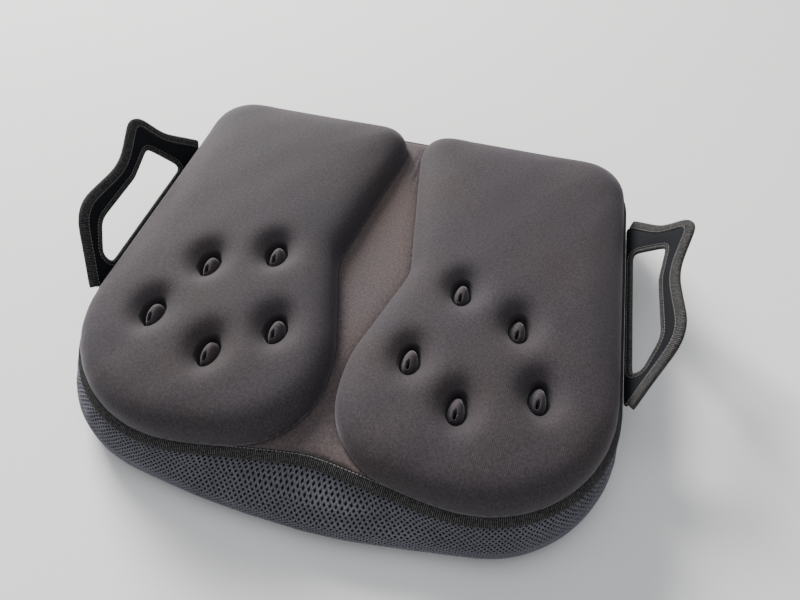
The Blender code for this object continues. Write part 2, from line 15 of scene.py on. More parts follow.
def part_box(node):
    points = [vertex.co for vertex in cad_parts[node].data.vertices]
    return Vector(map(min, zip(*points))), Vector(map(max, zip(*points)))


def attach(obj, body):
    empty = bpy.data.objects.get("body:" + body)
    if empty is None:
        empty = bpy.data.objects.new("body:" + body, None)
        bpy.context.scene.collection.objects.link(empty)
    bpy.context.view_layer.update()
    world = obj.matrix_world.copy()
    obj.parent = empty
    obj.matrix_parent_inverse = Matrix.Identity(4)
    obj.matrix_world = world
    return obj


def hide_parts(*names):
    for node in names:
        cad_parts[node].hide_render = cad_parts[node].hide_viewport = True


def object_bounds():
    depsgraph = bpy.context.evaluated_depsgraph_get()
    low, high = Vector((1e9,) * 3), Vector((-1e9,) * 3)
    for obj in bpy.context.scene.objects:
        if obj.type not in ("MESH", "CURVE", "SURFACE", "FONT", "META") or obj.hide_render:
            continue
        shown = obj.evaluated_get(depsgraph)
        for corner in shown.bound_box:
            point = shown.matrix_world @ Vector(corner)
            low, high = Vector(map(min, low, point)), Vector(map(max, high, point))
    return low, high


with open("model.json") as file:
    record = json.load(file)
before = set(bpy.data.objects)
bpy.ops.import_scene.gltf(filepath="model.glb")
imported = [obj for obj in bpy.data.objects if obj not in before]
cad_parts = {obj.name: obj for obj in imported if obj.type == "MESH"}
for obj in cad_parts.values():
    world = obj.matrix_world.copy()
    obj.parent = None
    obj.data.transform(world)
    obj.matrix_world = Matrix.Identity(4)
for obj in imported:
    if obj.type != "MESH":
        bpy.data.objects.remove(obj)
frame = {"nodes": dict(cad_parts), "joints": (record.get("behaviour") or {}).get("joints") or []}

bl_info = {
    "name": "Seat Cushion Looks",
    "version": (1, 0, 0),
    "blender": (4, 5, 0),
    "location": "View3D > Sidebar > Cushion",
    "description": "Covers, bindings, mesh band, handles and zip of a moulded seat cushion",
    "category": "Object",
}

CAD_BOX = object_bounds()
SIDES = (("left", -1), ("right", 1))
OUTLINE_STEP = 0.002  # spacing of the points of an outline while its facets are smoothed
HANDLE_STEP = 0.0008  # the same, on the small outlines of the handles
PATH_STEP = 0.0010  # the same, on the free edge of a handle
SETTLING_FRAMES = 15  # of cloth simulation for each pad
EVENING_ROUNDS = 14  # of averaging over the swelling, so that it leaves no creases
CROWN_REACH = 0.085  # how far in from its edge a pad goes on rising
BAND_COLUMNS = 640  # points round the side band
BAND_ROWS = 25
BAND_CUTS = (0.004, 0.05, 0.101, 0.2, 0.301, 0.425, 0.551, 0.68, 0.801, 0.9, 0.996)  # shares of its height
COVER_WALL = 0.0012  # thickness of the channel cover, and its hem past the panel
SEAM_TAPE = (0.0094, 0.0034, math.radians(33))  # width, thickness and tilt of the top tape
HANDLE_TAPE = (0.0094, 0.0046, 0.0)
HOLE_TAPE = (0.0036, 0.0034, 0.0, 10)  # with 10 sides instead of 12


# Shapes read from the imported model


def section_loops(node, point, normal):
    """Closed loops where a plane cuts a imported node, longest first, as arrays of points."""
    mesh = bmesh.new()
    mesh.from_mesh(frame["nodes"][node].data)
    bmesh.ops.remove_doubles(mesh, verts=mesh.verts, dist=1e-6)
    parts = mesh.verts[:] + mesh.edges[:] + mesh.faces[:]
    cut = bmesh.ops.bisect_plane(mesh, geom=parts, plane_co=point, plane_no=normal, dist=1e-7)
    mesh.verts.index_update()
    mesh.verts.ensure_lookup_table()
    neighbours = {}
    for edge in cut["geom_cut"]:
        if isinstance(edge, bmesh.types.BMEdge):
            first, second = edge.verts
            neighbours.setdefault(first.index, []).append(second.index)
            neighbours.setdefault(second.index, []).append(first.index)
    loops = []
    while neighbours:
        start = next(iter(neighbours))
        loop = [start]
        current = start
        while True:
            onward = [v for v in neighbours.pop(current) if v in neighbours]
            if not onward:
                break
            current = onward[0]
            loop.append(current)
        loops.append(np.array([mesh.verts[v].co[:] for v in loop]))
    mesh.free()
    return sorted(loops, key=loop_length, reverse=True)


def loop_length(loop):
    return float(np.linalg.norm(np.roll(loop, -1, axis=0) - loop, axis=1).sum())


def path_length(path, closed):
    return loop_length(path) if closed else float(np.linalg.norm(np.diff(path, axis=0), axis=1).sum())


def resampled(loop, count):
    """The closed loop with this many evenly spaced points, from its first point on."""
    closed = np.vstack([loop, loop[:1]])
    along = np.concatenate([[0.0], np.cumsum(np.linalg.norm(np.diff(closed, axis=0), axis=1))])
    places = np.linspace(0.0, along[-1], count, endpoint=False)
    return np.stack([np.interp(places, along, closed[:, axis]) for axis in range(loop.shape[1])], axis=1)


def respaced(loop, spacing):
    return resampled(loop, int(loop_length(loop) / spacing))


def counter_clockwise(loop):
    x, y = loop[:, 0], loop[:, 1]
    area = (x * np.roll(y, -1) - np.roll(x, -1) * y).sum()
    return loop if area > 0 else loop[::-1]


def from_front(loop):
    """The counter-clockwise loop, starting at the middle of its front."""
    loop = counter_clockwise(loop)
    front = np.where(loop[:, 1] < 0, np.abs(loop[:, 0]), np.inf)
    return np.roll(loop, -int(front.argmin()), axis=0)


def bell(width, step):
    """Reach and weights that smooth points a step apart over this width."""
    reach = int(3 * width / step)
    weights = np.exp(-0.5 * (np.arange(-reach, reach + 1) * step / width) ** 2)
    return reach, weights / weights.sum()


def smooth_loop(loop, width, step=OUTLINE_STEP):
    """The flat loop with its facets smoothed out over this width."""
    loop = respaced(loop[:, :2], step)
    reach, weights = bell(width, step)
    return np.sum([w * np.roll(loop, k, axis=0) for k, w in zip(range(-reach, reach + 1), weights)], axis=0)


def outline_of(node, height, width=0.005):
    """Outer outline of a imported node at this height."""
    return from_front(smooth_loop(section_loops(node, (0, 0, height), (0, 0, 1))[0], width))


def outward_normals(loop):
    along = np.roll(loop, -1, axis=0) - np.roll(loop, 1, axis=0)
    along /= np.linalg.norm(along, axis=1)[:, None]
    return np.stack([along[:, 1], -along[:, 0]], axis=1)


def offset_loop(loop, distance):
    """The counter-clockwise loop moved outwards, or inwards with a minus sign."""
    return loop + outward_normals(loop) * distance


# Flat geometry


def inside(points, loop):
    x, y = points[:, 0][:, None], points[:, 1][:, None]
    ax, ay = loop[:, 0], loop[:, 1]
    bx, by = np.roll(ax, -1), np.roll(ay, -1)
    rise = np.where(by == ay, 1e-12, by - ay)
    crosses = ((ay > y) != (by > y)) & (x < (bx - ax) * (y - ay) / rise + ax)
    return crosses.sum(axis=1) % 2 == 1


def distance_to(points, loop):
    start = loop
    step = np.roll(loop, -1, axis=0) - loop
    square = (step**2).sum(axis=1)
    result = np.empty(len(points))
    for low in range(0, len(points), 4000):
        block = points[low : low + 4000, None, :] - start
        share = np.clip((block * step).sum(axis=2) / square, 0, 1)
        gap = block - share[:, :, None] * step
        result[low : low + 4000] = np.sqrt((gap**2).sum(axis=2)).min(axis=1)
    return result


def spread_grid(low, high, spacing):
    """Points of a triangular grid over a box."""
    rows = np.arange(low[1], high[1], spacing * math.sqrt(0.75))
    columns = np.arange(low[0], high[0], spacing)
    x, y = np.meshgrid(columns, rows)
    x = x + (np.arange(len(rows)) % 2)[:, None] * spacing / 2
    return np.stack([x.ravel(), y.ravel()], axis=1)


def thinned(points, gap):
    """The points without those that share a cell of this size with an earlier one."""
    _, first = np.unique(np.round(points / gap).astype(int), axis=0, return_index=True)
    return points[np.sort(first)]


def triangles_over(points, boundary):
    """Triangles between the points, inside the boundary loop."""
    result = geometry.delaunay_2d_cdt([Vector(p) for p in points.tolist()], [], [], 0, 1e-7)
    flat = np.array([v[:] for v in result[0]])
    faces = np.array(result[2])
    return flat, facing_up(flat, faces[inside(flat[faces].mean(axis=1), boundary)])


def facing_up(points, faces):
    """The triangles, all wound to face up."""
    first = points[faces[:, 1]] - points[faces[:, 0]]
    second = points[faces[:, 2]] - points[faces[:, 0]]
    wrong = first[:, 0] * second[:, 1] - first[:, 1] * second[:, 0] < 0
    return np.where(wrong[:, None], faces[:, ::-1], faces)


def smoothstep(value):
    value = np.clip(value, 0, 1)
    return value * value * (3 - 2 * value)


# Objects


def new_piece(name, points, faces, material=None, smooth=True):
    mesh = bpy.data.meshes.new(name)
    mesh.from_pydata(np.asarray(points, float).tolist(), [], np.asarray(faces).tolist())
    return piece_from(name, mesh, material, smooth)


def piece_from(name, mesh, material=None, smooth=True):
    mesh.validate()
    mesh.update()
    piece = bpy.data.objects.new(name, mesh)
    bpy.context.scene.collection.objects.link(piece)
    if smooth:
        mesh.shade_smooth()
    if material:
        mesh.materials.append(material)
    return piece


def plain_mesh(source, name, material=None):
    """The object's evaluated shape as a new plain piece. The source is removed."""
    graph = bpy.context.evaluated_depsgraph_get()
    mesh = bpy.data.meshes.new_from_object(source.evaluated_get(graph), depsgraph=graph)
    bpy.data.objects.remove(source, do_unlink=True)
    mesh.name = name
    piece = piece_from(name, mesh)
    if material and not mesh.materials:
        mesh.materials.append(material)
    return piece


def thick_shell(piece, thickness):
    """Gives an open sheet a wall on its inner side."""
    solidify = piece.modifiers.new("Wall", "SOLIDIFY")
    solidify.thickness = thickness
    solidify.offset = -1
    return plain_mesh(piece, piece.name)


def rounded(piece, width, segments=2):
    bevel = piece.modifiers.new("Edges", "BEVEL")
    bevel.width = width
    bevel.segments = segments
    bevel.limit_method = "ANGLE"
    return plain_mesh(piece, piece.name)


def path_object(name, points, closed):
    mesh = bpy.data.meshes.new(name)
    edges = [(k, k + 1) for k in range(len(points) - 1)]
    if closed:
        edges.append((len(points) - 1, 0))
    if points.shape[1] == 2:
        points = np.column_stack([points, np.zeros(len(points))])
    mesh.from_pydata(points.tolist(), edges, [])
    path = bpy.data.objects.new(name, mesh)
    bpy.context.scene.collection.objects.link(path)
    return path


def lofted_piece(name, rows, material):
    """A closed piece through loops with equal numbers of points."""
    count = len(rows[0])
    faces = []
    for low in range(0, (len(rows) - 1) * count, count):
        for k in range(count):
            after = (k + 1) % count
            faces.append((low + k, low + after, low + count + after, low + count + k))
    faces.append(tuple(range(count - 1, -1, -1)))
    faces.append(tuple(range((len(rows) - 1) * count, len(rows) * count)))
    mesh = bpy.data.meshes.new(name)
    mesh.from_pydata(np.vstack(rows).tolist(), [], faces)
    return piece_from(name, mesh, material)


def ball(name, segments, rings, size):
    """A small ellipsoid, to be repeated."""
    shape = bmesh.new()
    bmesh.ops.create_uvsphere(shape, u_segments=segments, v_segments=rings, radius=0.5)
    for vertex in shape.verts:
        vertex.co = Vector([c * s for c, s in zip(vertex.co, size)])
    mesh = bpy.data.meshes.new(name)
    shape.to_mesh(mesh)
    shape.free()
    return piece_from(name, mesh)


def mounted(piece, body, slot, *nodes):
    """Hangs a finished piece on its body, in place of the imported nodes."""
    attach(piece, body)
    if nodes:
        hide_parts(*nodes)
    return piece


# Node trees


def add_node(tree, kind, inputs=None, **settings):
    node = tree.nodes.new(kind)
    for name, value in settings.items():
        setattr(node, name, value)
    for name, value in (inputs or {}).items():
        socket = node.inputs[name]
        if isinstance(value, bpy.types.NodeSocket):
            tree.links.new(value, socket)
        else:
            socket.default_value = value
    return node


def maths(tree, operation, first, second=0.0):
    node = add_node(tree, "ShaderNodeMath", {0: first, 1: second}, operation=operation)
    return node.outputs[0]


def times(tree, first, second):
    return maths(tree, "MULTIPLY", first, second)


def vector(tree, x=0.0, y=0.0, z=0.0):
    return add_node(tree, "ShaderNodeCombineXYZ", {0: x, 1: y, 2: z}).outputs[0]


def axes_of(tree, value):
    return add_node(tree, "ShaderNodeSeparateXYZ", {0: value}).outputs


def moved(tree, shape, **inputs):
    """The geometry with its points moved by Offset or to Position, where Selection says."""
    return add_node(tree, "GeometryNodeSetPosition", {"Geometry": shape, **inputs}).outputs[0]


def even_curve(tree, start, count):
    """The incoming path as a curve, with as many points as the named input says."""
    curve = add_node(tree, "GeometryNodeMeshToCurve", {0: start.outputs["Geometry"]})
    inputs = {"Curve": curve.outputs[0], "Count": start.outputs[count]}
    return add_node(tree, "GeometryNodeResampleCurve", inputs).outputs[0]


def geometry_tree(name, inputs):
    """A geometry tree with named inputs, each (name, socket kind), with its start and end nodes."""
    tree = bpy.data.node_groups.new(name, "GeometryNodeTree")
    tree.interface.new_socket("Geometry", in_out="INPUT", socket_type="NodeSocketGeometry")
    for label, kind in inputs:
        tree.interface.new_socket(label, in_out="INPUT", socket_type="NodeSocket" + kind)
    tree.interface.new_socket("Geometry", in_out="OUTPUT", socket_type="NodeSocketGeometry")
    return tree, tree.nodes.new("NodeGroupInput"), tree.nodes.new("NodeGroupOutput")


def end_tree(tree, start, end, shape):
    """Every tree ends with its instances made real and its material set."""
    real = add_node(tree, "GeometryNodeRealizeInstances", {"Geometry": shape})
    inputs = {"Geometry": real.outputs[0], "Material": start.outputs["Material"]}
    painted = add_node(tree, "GeometryNodeSetMaterial", inputs)
    tree.links.new(painted.outputs[0], end.inputs[0])


def grown(source, tree, values, name):
    """Runs a geometry tree on the source and returns the plain result."""
    modifier = source.modifiers.new(tree.name, "NODES")
    modifier.node_group = tree
    for item in tree.interface.items_tree:
        if item.in_out == "INPUT" and item.name in values:
            modifier[item.identifier] = values[item.name]
    source.update_tag()
    bpy.context.view_layer.update()
    return plain_mesh(source, name)


def ribbed_tape_tree():
    """A tape along a path, with ribs across it. The path is flat and its normals stay level."""
    inputs = [("Profile", "Object"), ("Points", "Int"), ("Rib Height", "Float"), ("Material", "Material")]
    tree, start, end = geometry_tree("Ribbed Tape", inputs)
    even = even_curve(tree, start, "Points")
    level = add_node(tree, "GeometryNodeSetCurveNormal", {"Curve": even}, mode="Z_UP")
    index = add_node(tree, "GeometryNodeInputIndex")
    wave = maths(tree, "COSINE", times(tree, index.outputs[0], math.pi / 2))
    inputs = {"Geometry": level.outputs[0], "Name": "rib", "Value": wave}
    stored = add_node(tree, "GeometryNodeStoreNamedAttribute", inputs, data_type="FLOAT", domain="POINT")
    profile = add_node(tree, "GeometryNodeObjectInfo", {"Object": start.outputs["Profile"]})
    section = add_node(tree, "GeometryNodeMeshToCurve", {0: profile.outputs["Geometry"]})
    inputs = {"Curve": stored.outputs[0], "Profile Curve": section.outputs[0], "Fill Caps": True}
    swept = add_node(tree, "GeometryNodeCurveToMesh", inputs)
    rib = add_node(tree, "GeometryNodeInputNamedAttribute", {"Name": "rib"}, data_type="FLOAT")
    height = times(tree, rib.outputs[0], start.outputs["Rib Height"])
    normal = add_node(tree, "GeometryNodeInputNormal")
    inputs = {0: normal.outputs[0], "Scale": height}
    shift = add_node(tree, "ShaderNodeVectorMath", inputs, operation="SCALE")
    end_tree(tree, start, end, moved(tree, swept.outputs[0], Offset=shift.outputs[0]))
    return tree


def stitch_tree():
    """Short threads laid along a path, end to end with small gaps."""
    inputs = [("Stitches", "Int"), ("Thread", "Float"), ("Length", "Float"), ("Material", "Material")]
    tree, start, end = geometry_tree("Stitches", inputs)
    source = start.outputs
    bead = add_node(tree, "GeometryNodeMeshUVSphere", {"Segments": 6, "Rings": 4, "Radius": 0.5})
    tangent = add_node(tree, "GeometryNodeInputTangent")
    turn = add_node(tree, "FunctionNodeAlignRotationToVector", {"Vector": tangent.outputs[0]}, axis="Z")
    inputs = {
        "Points": even_curve(tree, start, "Stitches"),
        "Instance": bead.outputs[0],
        "Rotation": turn.outputs[0],
        "Scale": vector(tree, source["Thread"], source["Thread"], source["Length"]),
    }
    threads = add_node(tree, "GeometryNodeInstanceOnPoints", inputs)
    smooth = add_node(tree, "GeometryNodeSetShadeSmooth", {0: threads.outputs[0]})
    end_tree(tree, start, end, smooth.outputs[0])
    return tree


def holed_cell(tree, source):
    """One cell: a diamond whose ring dips towards its hole, with the hole's wall and floor marked."""
    disc = add_node(tree, "GeometryNodeMeshCircle", {"Vertices": 4, "Radius": 1.0}, fill_type="NGON")
    size = vector(tree, times(tree, source["Pitch"], 0.5), source["Row Height"], 1.0)
    cell = add_node(tree, "GeometryNodeTransform", {"Geometry": disc.outputs[0], "Scale": size})
    inputs = {"Mesh": cell.outputs[0], "Offset Scale": 0.0}
    ring = add_node(tree, "GeometryNodeExtrudeMesh", inputs, mode="FACES")
    hole = ring.outputs["Top"]
    inputs = {"Geometry": ring.outputs["Mesh"], "Selection": hole, "Scale": source["Hole Share"]}
    holed = add_node(tree, "GeometryNodeScaleElements", inputs)
    dip = vector(tree, z=times(tree, source["Dish"], -1.0))
    dished = moved(tree, holed.outputs[0], Selection=hole, Offset=dip)
    inputs = {"Mesh": dished, "Selection": hole, "Offset Scale": times(tree, source["Depth"], -1.0)}
    well = add_node(tree, "GeometryNodeExtrudeMesh", inputs, mode="FACES")
    # The hole's wall and floor are marked, for the finish to paint them near black as painted shade
    inputs = {0: well.outputs["Top"], 1: well.outputs["Side"]}
    deep = add_node(tree, "FunctionNodeBooleanMath", inputs, operation="OR")
    inputs = {"Geometry": well.outputs["Mesh"], "Name": "hole", "Value": deep.outputs[0]}
    marked = add_node(tree, "GeometryNodeStoreNamedAttribute", inputs, data_type="FLOAT", domain="FACE")
    return marked.outputs[0]


def perforated_tree():
    """A sheet of diamond cells with a blind hole in each, laid over a surface through its UV map."""
    inputs = [("Columns", "Int"), ("Rows", "Int")]
    inputs += [(name, "Float") for name in ("Pitch", "Row Height", "Hole Share", "Dish", "Depth")]
    inputs += [("Window Low", "Vector"), ("Window High", "Vector"), ("Material", "Material")]
    tree, start, end = geometry_tree("Perforated Mesh", inputs)
    source = start.outputs
    pitch, rise = source["Pitch"], source["Row Height"]
    length = times(tree, source["Columns"], pitch)
    height = times(tree, source["Rows"], rise)

    # Staggered rows of places for the cells, with the window left out
    inputs = {
        "Size X": maths(tree, "SUBTRACT", length, pitch),
        "Size Y": maths(tree, "SUBTRACT", height, rise),
        "Vertices X": source["Columns"],
        "Vertices Y": source["Rows"],
    }
    grid = add_node(tree, "GeometryNodeMeshGrid", inputs)
    index = add_node(tree, "GeometryNodeInputIndex")
    odd = maths(tree, "MODULO", maths(tree, "MODULO", index.outputs[0], source["Rows"]), 2.0)
    shift = times(tree, odd, times(tree, pitch, 0.5))
    across_start = maths(tree, "ADD", shift, times(tree, length, 0.5))
    places = moved(tree, grid.outputs[0], Offset=vector(tree, across_start, times(tree, height, 0.5)))
    position = add_node(tree, "GeometryNodeInputPosition").outputs[0]
    parts = axes_of(tree, position)
    across = maths(tree, "DIVIDE", parts[0], length)
    up = maths(tree, "DIVIDE", parts[1], height)
    low, high = axes_of(tree, source["Window Low"]), axes_of(tree, source["Window High"])
    window = 1.0
    for value, axis in ((across, 0), (up, 1)):
        window = times(tree, maths(tree, "GREATER_THAN", value, low[axis]), window)
        window = times(tree, maths(tree, "LESS_THAN", value, high[axis]), window)
    inputs = {"Geometry": places, "Selection": window}
    kept = add_node(tree, "GeometryNodeDeleteGeometry", inputs, domain="POINT")
    inputs = {"Points": kept.outputs[0], "Instance": holed_cell(tree, source)}
    cells = add_node(tree, "GeometryNodeInstanceOnPoints", inputs)
    real = add_node(tree, "GeometryNodeRealizeInstances", {"Geometry": cells.outputs[0]})
    welded = add_node(tree, "GeometryNodeMergeByDistance", {"Geometry": real.outputs[0], "Distance": 1e-5})

    # Each point goes to its place on the surface, and along the surface's normal by its own height
    around = add_node(tree, "ShaderNodeMath", {0: across, 1: 1.0, 2: 0.0}, operation="WRAP")
    level = add_node(tree, "ShaderNodeClamp", {0: up, 1: 0.001, 2: 0.999})
    uv_map = add_node(tree, "GeometryNodeInputNamedAttribute", {"Name": "band"}, data_type="FLOAT_VECTOR")
    normal = add_node(tree, "GeometryNodeInputNormal")
    inputs = {
        "Mesh": source["Geometry"],
        "UV Map": uv_map.outputs[0],
        "Sample UV": vector(tree, around.outputs[0], level.outputs[0]),
    }
    sampled = []
    for value in (position, normal.outputs[0]):
        inputs["Value"] = value
        sample = add_node(tree, "GeometryNodeSampleUVSurface", inputs, data_type="FLOAT_VECTOR")
        sampled.append(sample.outputs[0])
    inputs = {0: sampled[1], "Scale": parts[2]}
    lift = add_node(tree, "ShaderNodeVectorMath", inputs, operation="SCALE").outputs[0]
    target = add_node(tree, "ShaderNodeVectorMath", {0: sampled[0], 1: lift}, operation="ADD")
    end_tree(tree, start, end, moved(tree, welded.outputs[0], Position=target.outputs[0]))
    return tree


def scatter_tree():
    """A small shape stood at every point of a cloud."""
    tree, start, end = geometry_tree("Scattered Shape", [("Shape", "Object"), ("Material", "Material")])
    shape = add_node(tree, "GeometryNodeObjectInfo", {"Object": start.outputs["Shape"]})
    inputs = {"Points": start.outputs["Geometry"], "Instance": shape.outputs["Geometry"]}
    copies = add_node(tree, "GeometryNodeInstanceOnPoints", inputs)
    end_tree(tree, start, end, copies.outputs[0])
    return tree


def scattered(name, places, shape, material):
    """The shape, which is used up, repeated at the places."""
    cloud = path_object(name + "_places", places, False)
    tree = bpy.data.node_groups.get("Scattered Shape") or scatter_tree()
    copies = grown(cloud, tree, {"Shape": shape, "Material": material}, name)
    bpy.data.objects.remove(shape, do_unlink=True)
    return copies


# Materials


class Finish:
    """A material under construction: its tree, its shader and the object coordinates."""

    def __init__(self, name, roughness, sheen=0.0, gloss=0.25, sheen_tint=(1.0, 1.0, 1.0)):
        self.material = bpy.data.materials.new(name)
        self.material.use_nodes = True
        self.tree = self.material.node_tree
        self.shader = self.tree.nodes["Principled BSDF"]
        self.place = add_node(self.tree, "ShaderNodeTexCoord").outputs["Object"]
        self.set("Roughness", roughness)
        self.set("Specular IOR Level", gloss)
        self.set("Sheen Weight", sheen)
        self.set("Sheen Roughness", 0.4)
        self.set("Sheen Tint", (*sheen_tint, 1.0))

    def set(self, name, value):
        self.shader.inputs[name].default_value = value

    def noise(self, scale, detail=2.0, rough=0.5):
        inputs = {"Vector": self.place, "Scale": scale, "Detail": detail, "Roughness": rough}
        return add_node(self.tree, "ShaderNodeTexNoise", inputs).outputs[0]

    def waves(self, scale, turn=(0.0, 0.0, 0.0), distortion=0.6):
        mapping = add_node(self.tree, "ShaderNodeMapping", {"Vector": self.place, "Rotation": turn})
        inputs = {"Vector": mapping.outputs[0], "Scale": scale, "Distortion": distortion}
        return add_node(self.tree, "ShaderNodeTexWave", inputs).outputs["Fac"]

    def attribute(self, name):
        return add_node(self.tree, "ShaderNodeAttribute", attribute_name=name).outputs["Fac"]

    def between(self, share, low, high, first, second):
        """A colour that goes from first to second as share goes from low to high."""
        inputs = {"Value": share, "From Min": low, "From Max": high}
        span = add_node(self.tree, "ShaderNodeMapRange", inputs)
        mix = add_node(self.tree, "ShaderNodeMix", {"Factor": span.outputs[0]}, data_type="RGBA")
        for socket, colour in ((mix.inputs[6], first), (mix.inputs[7], second)):
            if isinstance(colour, bpy.types.NodeSocket):
                self.tree.links.new(colour, socket)
            else:
                socket.default_value = (*colour, 1.0)
        return mix.outputs[2]

    def colour(self, socket):
        self.tree.links.new(socket, self.shader.inputs["Base Color"])

    def bump(self, height, strength, distance, below=None):
        inputs = {"Height": height, "Strength": strength, "Distance": distance}
        if below is not None:
            inputs["Normal"] = below
        node = add_node(self.tree, "ShaderNodeBump", inputs)
        self.tree.links.new(node.outputs[0], self.shader.inputs["Normal"])
        return node.outputs[0]


def scaled(colour, factor):
    return tuple(channel * factor for channel in colour)


def scaled_socket(finish, socket, factor):
    """A colour socket made lighter or darker all over."""
    inputs = {0: socket, 1: (factor, factor, factor)}
    return add_node(finish.tree, "ShaderNodeVectorMath", inputs, operation="MULTIPLY").outputs[0]


def knit_finish(name, colour, sheen, shade=0.40):
    """Fine stretch knit: even colour with a soft cloudy wear and a grain of loops, and painted shade near the
    vents, down to shade times its colour.
    """
    finish = Finish(name, 0.82, sheen=sheen, sheen_tint=(0.95, 0.92, 1.0))
    cool = (colour[0] * 0.90, colour[1] * 0.98, colour[2] * 1.14)
    warm = (colour[0] * 1.12, colour[1] * 1.03, colour[2] * 0.94)
    cloudy = finish.between(finish.noise(14.0, 3.0), 0.35, 0.65, cool, warm)
    fleck = finish.noise(520.0, 3.0, 0.75)
    grain = finish.noise(1500.0, 3.0, 0.7)
    flecked = finish.between(fleck, 0.36, 0.62, scaled(colour, 0.45), scaled_socket(finish, cloudy, 1.22))
    grained = finish.between(grain, 0.30, 0.74, scaled(colour, 0.55), flecked)
    # Painted shade: the colour falls towards shade times the knit's colour where the vents' shade attribute
    # rises to 1
    finish.colour(finish.between(finish.attribute("hollow"), 0.0, 1.0, grained, scaled(colour, shade)))
    wales = finish.waves(240.0, (0.0, 0.0, 0.05), 1.2)
    first = finish.bump(wales, 0.18, 0.0003)
    finish.bump(grain, 0.30, 0.0004, first)
    return finish.material


def rib_finish(name, painted_shade_colour, light):
    """Ribbed tape: painted shade in the grooves and painted highlights on the crests, with a fleck of thread
    on the crests.
    """
    finish = Finish(name, 0.80, sheen=0.04, gloss=0.12)
    crest = finish.attribute("rib")
    fleck = finish.noise(620.0, 4.0, 0.8)
    painted_crests = finish.between(fleck, 0.38, 0.62, scaled(light, 0.22), scaled(light, 1.6))
    # Painted light: from the painted shade of the grooves to the painted highlights of the crests, following
    # the ribs
    finish.colour(finish.between(crest, -0.6, 0.95, painted_shade_colour, painted_crests))
    finish.bump(fleck, 0.35, 0.0004)
    return finish.material


def spacer_finish(name, colour, painted_shade_colour):
    """Knitted spacer mesh: threads of uneven brightness round holes painted near black as painted shade."""
    finish = Finish(name, 0.78, sheen=0.15, sheen_tint=(0.85, 0.88, 1.0))
    thread = finish.noise(1100.0, 3.0, 0.65)
    patchy = finish.between(finish.noise(26.0, 2.0), 0.3, 0.7, scaled(colour, 0.9), scaled(colour, 1.3))
    threads = finish.between(thread, 0.36, 0.64, scaled(colour, 0.35), patchy)
    # Painted shade: the marked walls and floors of the holes take the near-black hole colour
    finish.colour(finish.between(finish.attribute("hole"), 0.0, 1.0, threads, painted_shade_colour))
    finish.bump(thread, 0.55, 0.0006)
    return finish.material


def laminate_finish(name, colour):
    """Stiff laminated handle cloth with a faint twill."""
    finish = Finish(name, 0.80, sheen=0.02, gloss=0.10)
    cloudy = finish.between(finish.noise(30.0, 3.0), 0.3, 0.7, scaled(colour, 0.8), scaled(colour, 1.2))
    twill = finish.waves(420.0, (0.0, 0.6, 0.8), 0.4)
    finish.colour(finish.between(twill, 0.0, 1.0, scaled(colour, 0.78), cloudy))
    finish.bump(twill, 0.25, 0.0003)
    return finish.material


def thread_finish(name, colour):
    finish = Finish(name, 0.60, sheen=0.15)
    twist = finish.noise(2200.0, 1.0)
    finish.colour(finish.between(twist, 0.35, 0.65, scaled(colour, 0.6), colour))
    finish.bump(twist, 0.3, 0.0002)
    return finish.material


def foam_finish(name, colour):
    finish = Finish(name, 0.92)
    cells = add_node(finish.tree, "ShaderNodeTexVoronoi", {"Vector": finish.place, "Scale": 700.0}).outputs[0]
    tone = finish.between(finish.noise(18.0, 2.0), 0.3, 0.7, scaled(colour, 0.88), colour)
    finish.colour(finish.between(cells, 0.0, 0.5, scaled(colour, 0.6), tone))
    finish.bump(cells, 0.6, 0.0006)
    return finish.material


def rubber_finish(name, colour, roughness):
    finish = Finish(name, roughness)
    speck = finish.noise(500.0, 2.0)
    finish.colour(finish.between(speck, 0.35, 0.7, scaled(colour, 0.75), scaled(colour, 1.2)))
    finish.bump(speck, 0.15, 0.0003)
    return finish.material


def woven_finish(name, colour, scale):
    """Plain weave of two crossing threads."""
    finish = Finish(name, 0.80, sheen=0.08)
    warp = finish.waves(scale, (0.0, 0.0, 0.0), 0.3)
    weft = finish.waves(scale, (0.0, math.pi / 2, math.pi / 2), 0.3)
    weave = maths(finish.tree, "MULTIPLY", warp, weft)
    finish.colour(finish.between(weave, 0.0, 0.7, scaled(colour, 0.5), scaled(colour, 1.2)))
    finish.bump(weave, 0.5, 0.0003)
    return finish.material


def enamel_finish(name, colour):
    """Black enamel with random patches rubbed to bare metal."""
    finish = Finish(name, 0.38)
    finish.set("Metallic", 0.6)
    finish.set("Coat Weight", 0.2)
    wear = finish.noise(260.0, 4.0, 0.6)
    finish.colour(finish.between(wear, 0.62, 0.75, colour, (0.28, 0.27, 0.26)))
    finish.bump(wear, 0.08, 0.0002)
    return finish.material


# Sizes and colours that a user can change


def number_property(name, description, default):
    return bpy.props.FloatProperty(name=name, description=description, default=default)


def length_property(name, description, default):
    return bpy.props.FloatProperty(
        name=name, description=description, default=default, min=0.0, precision=5, unit="LENGTH"
    )


def colour_property(name, description, default):
    return bpy.props.FloatVectorProperty(
        name=name, description=description, default=default, size=3, min=0.0, max=1.0, subtype="COLOR"
    )


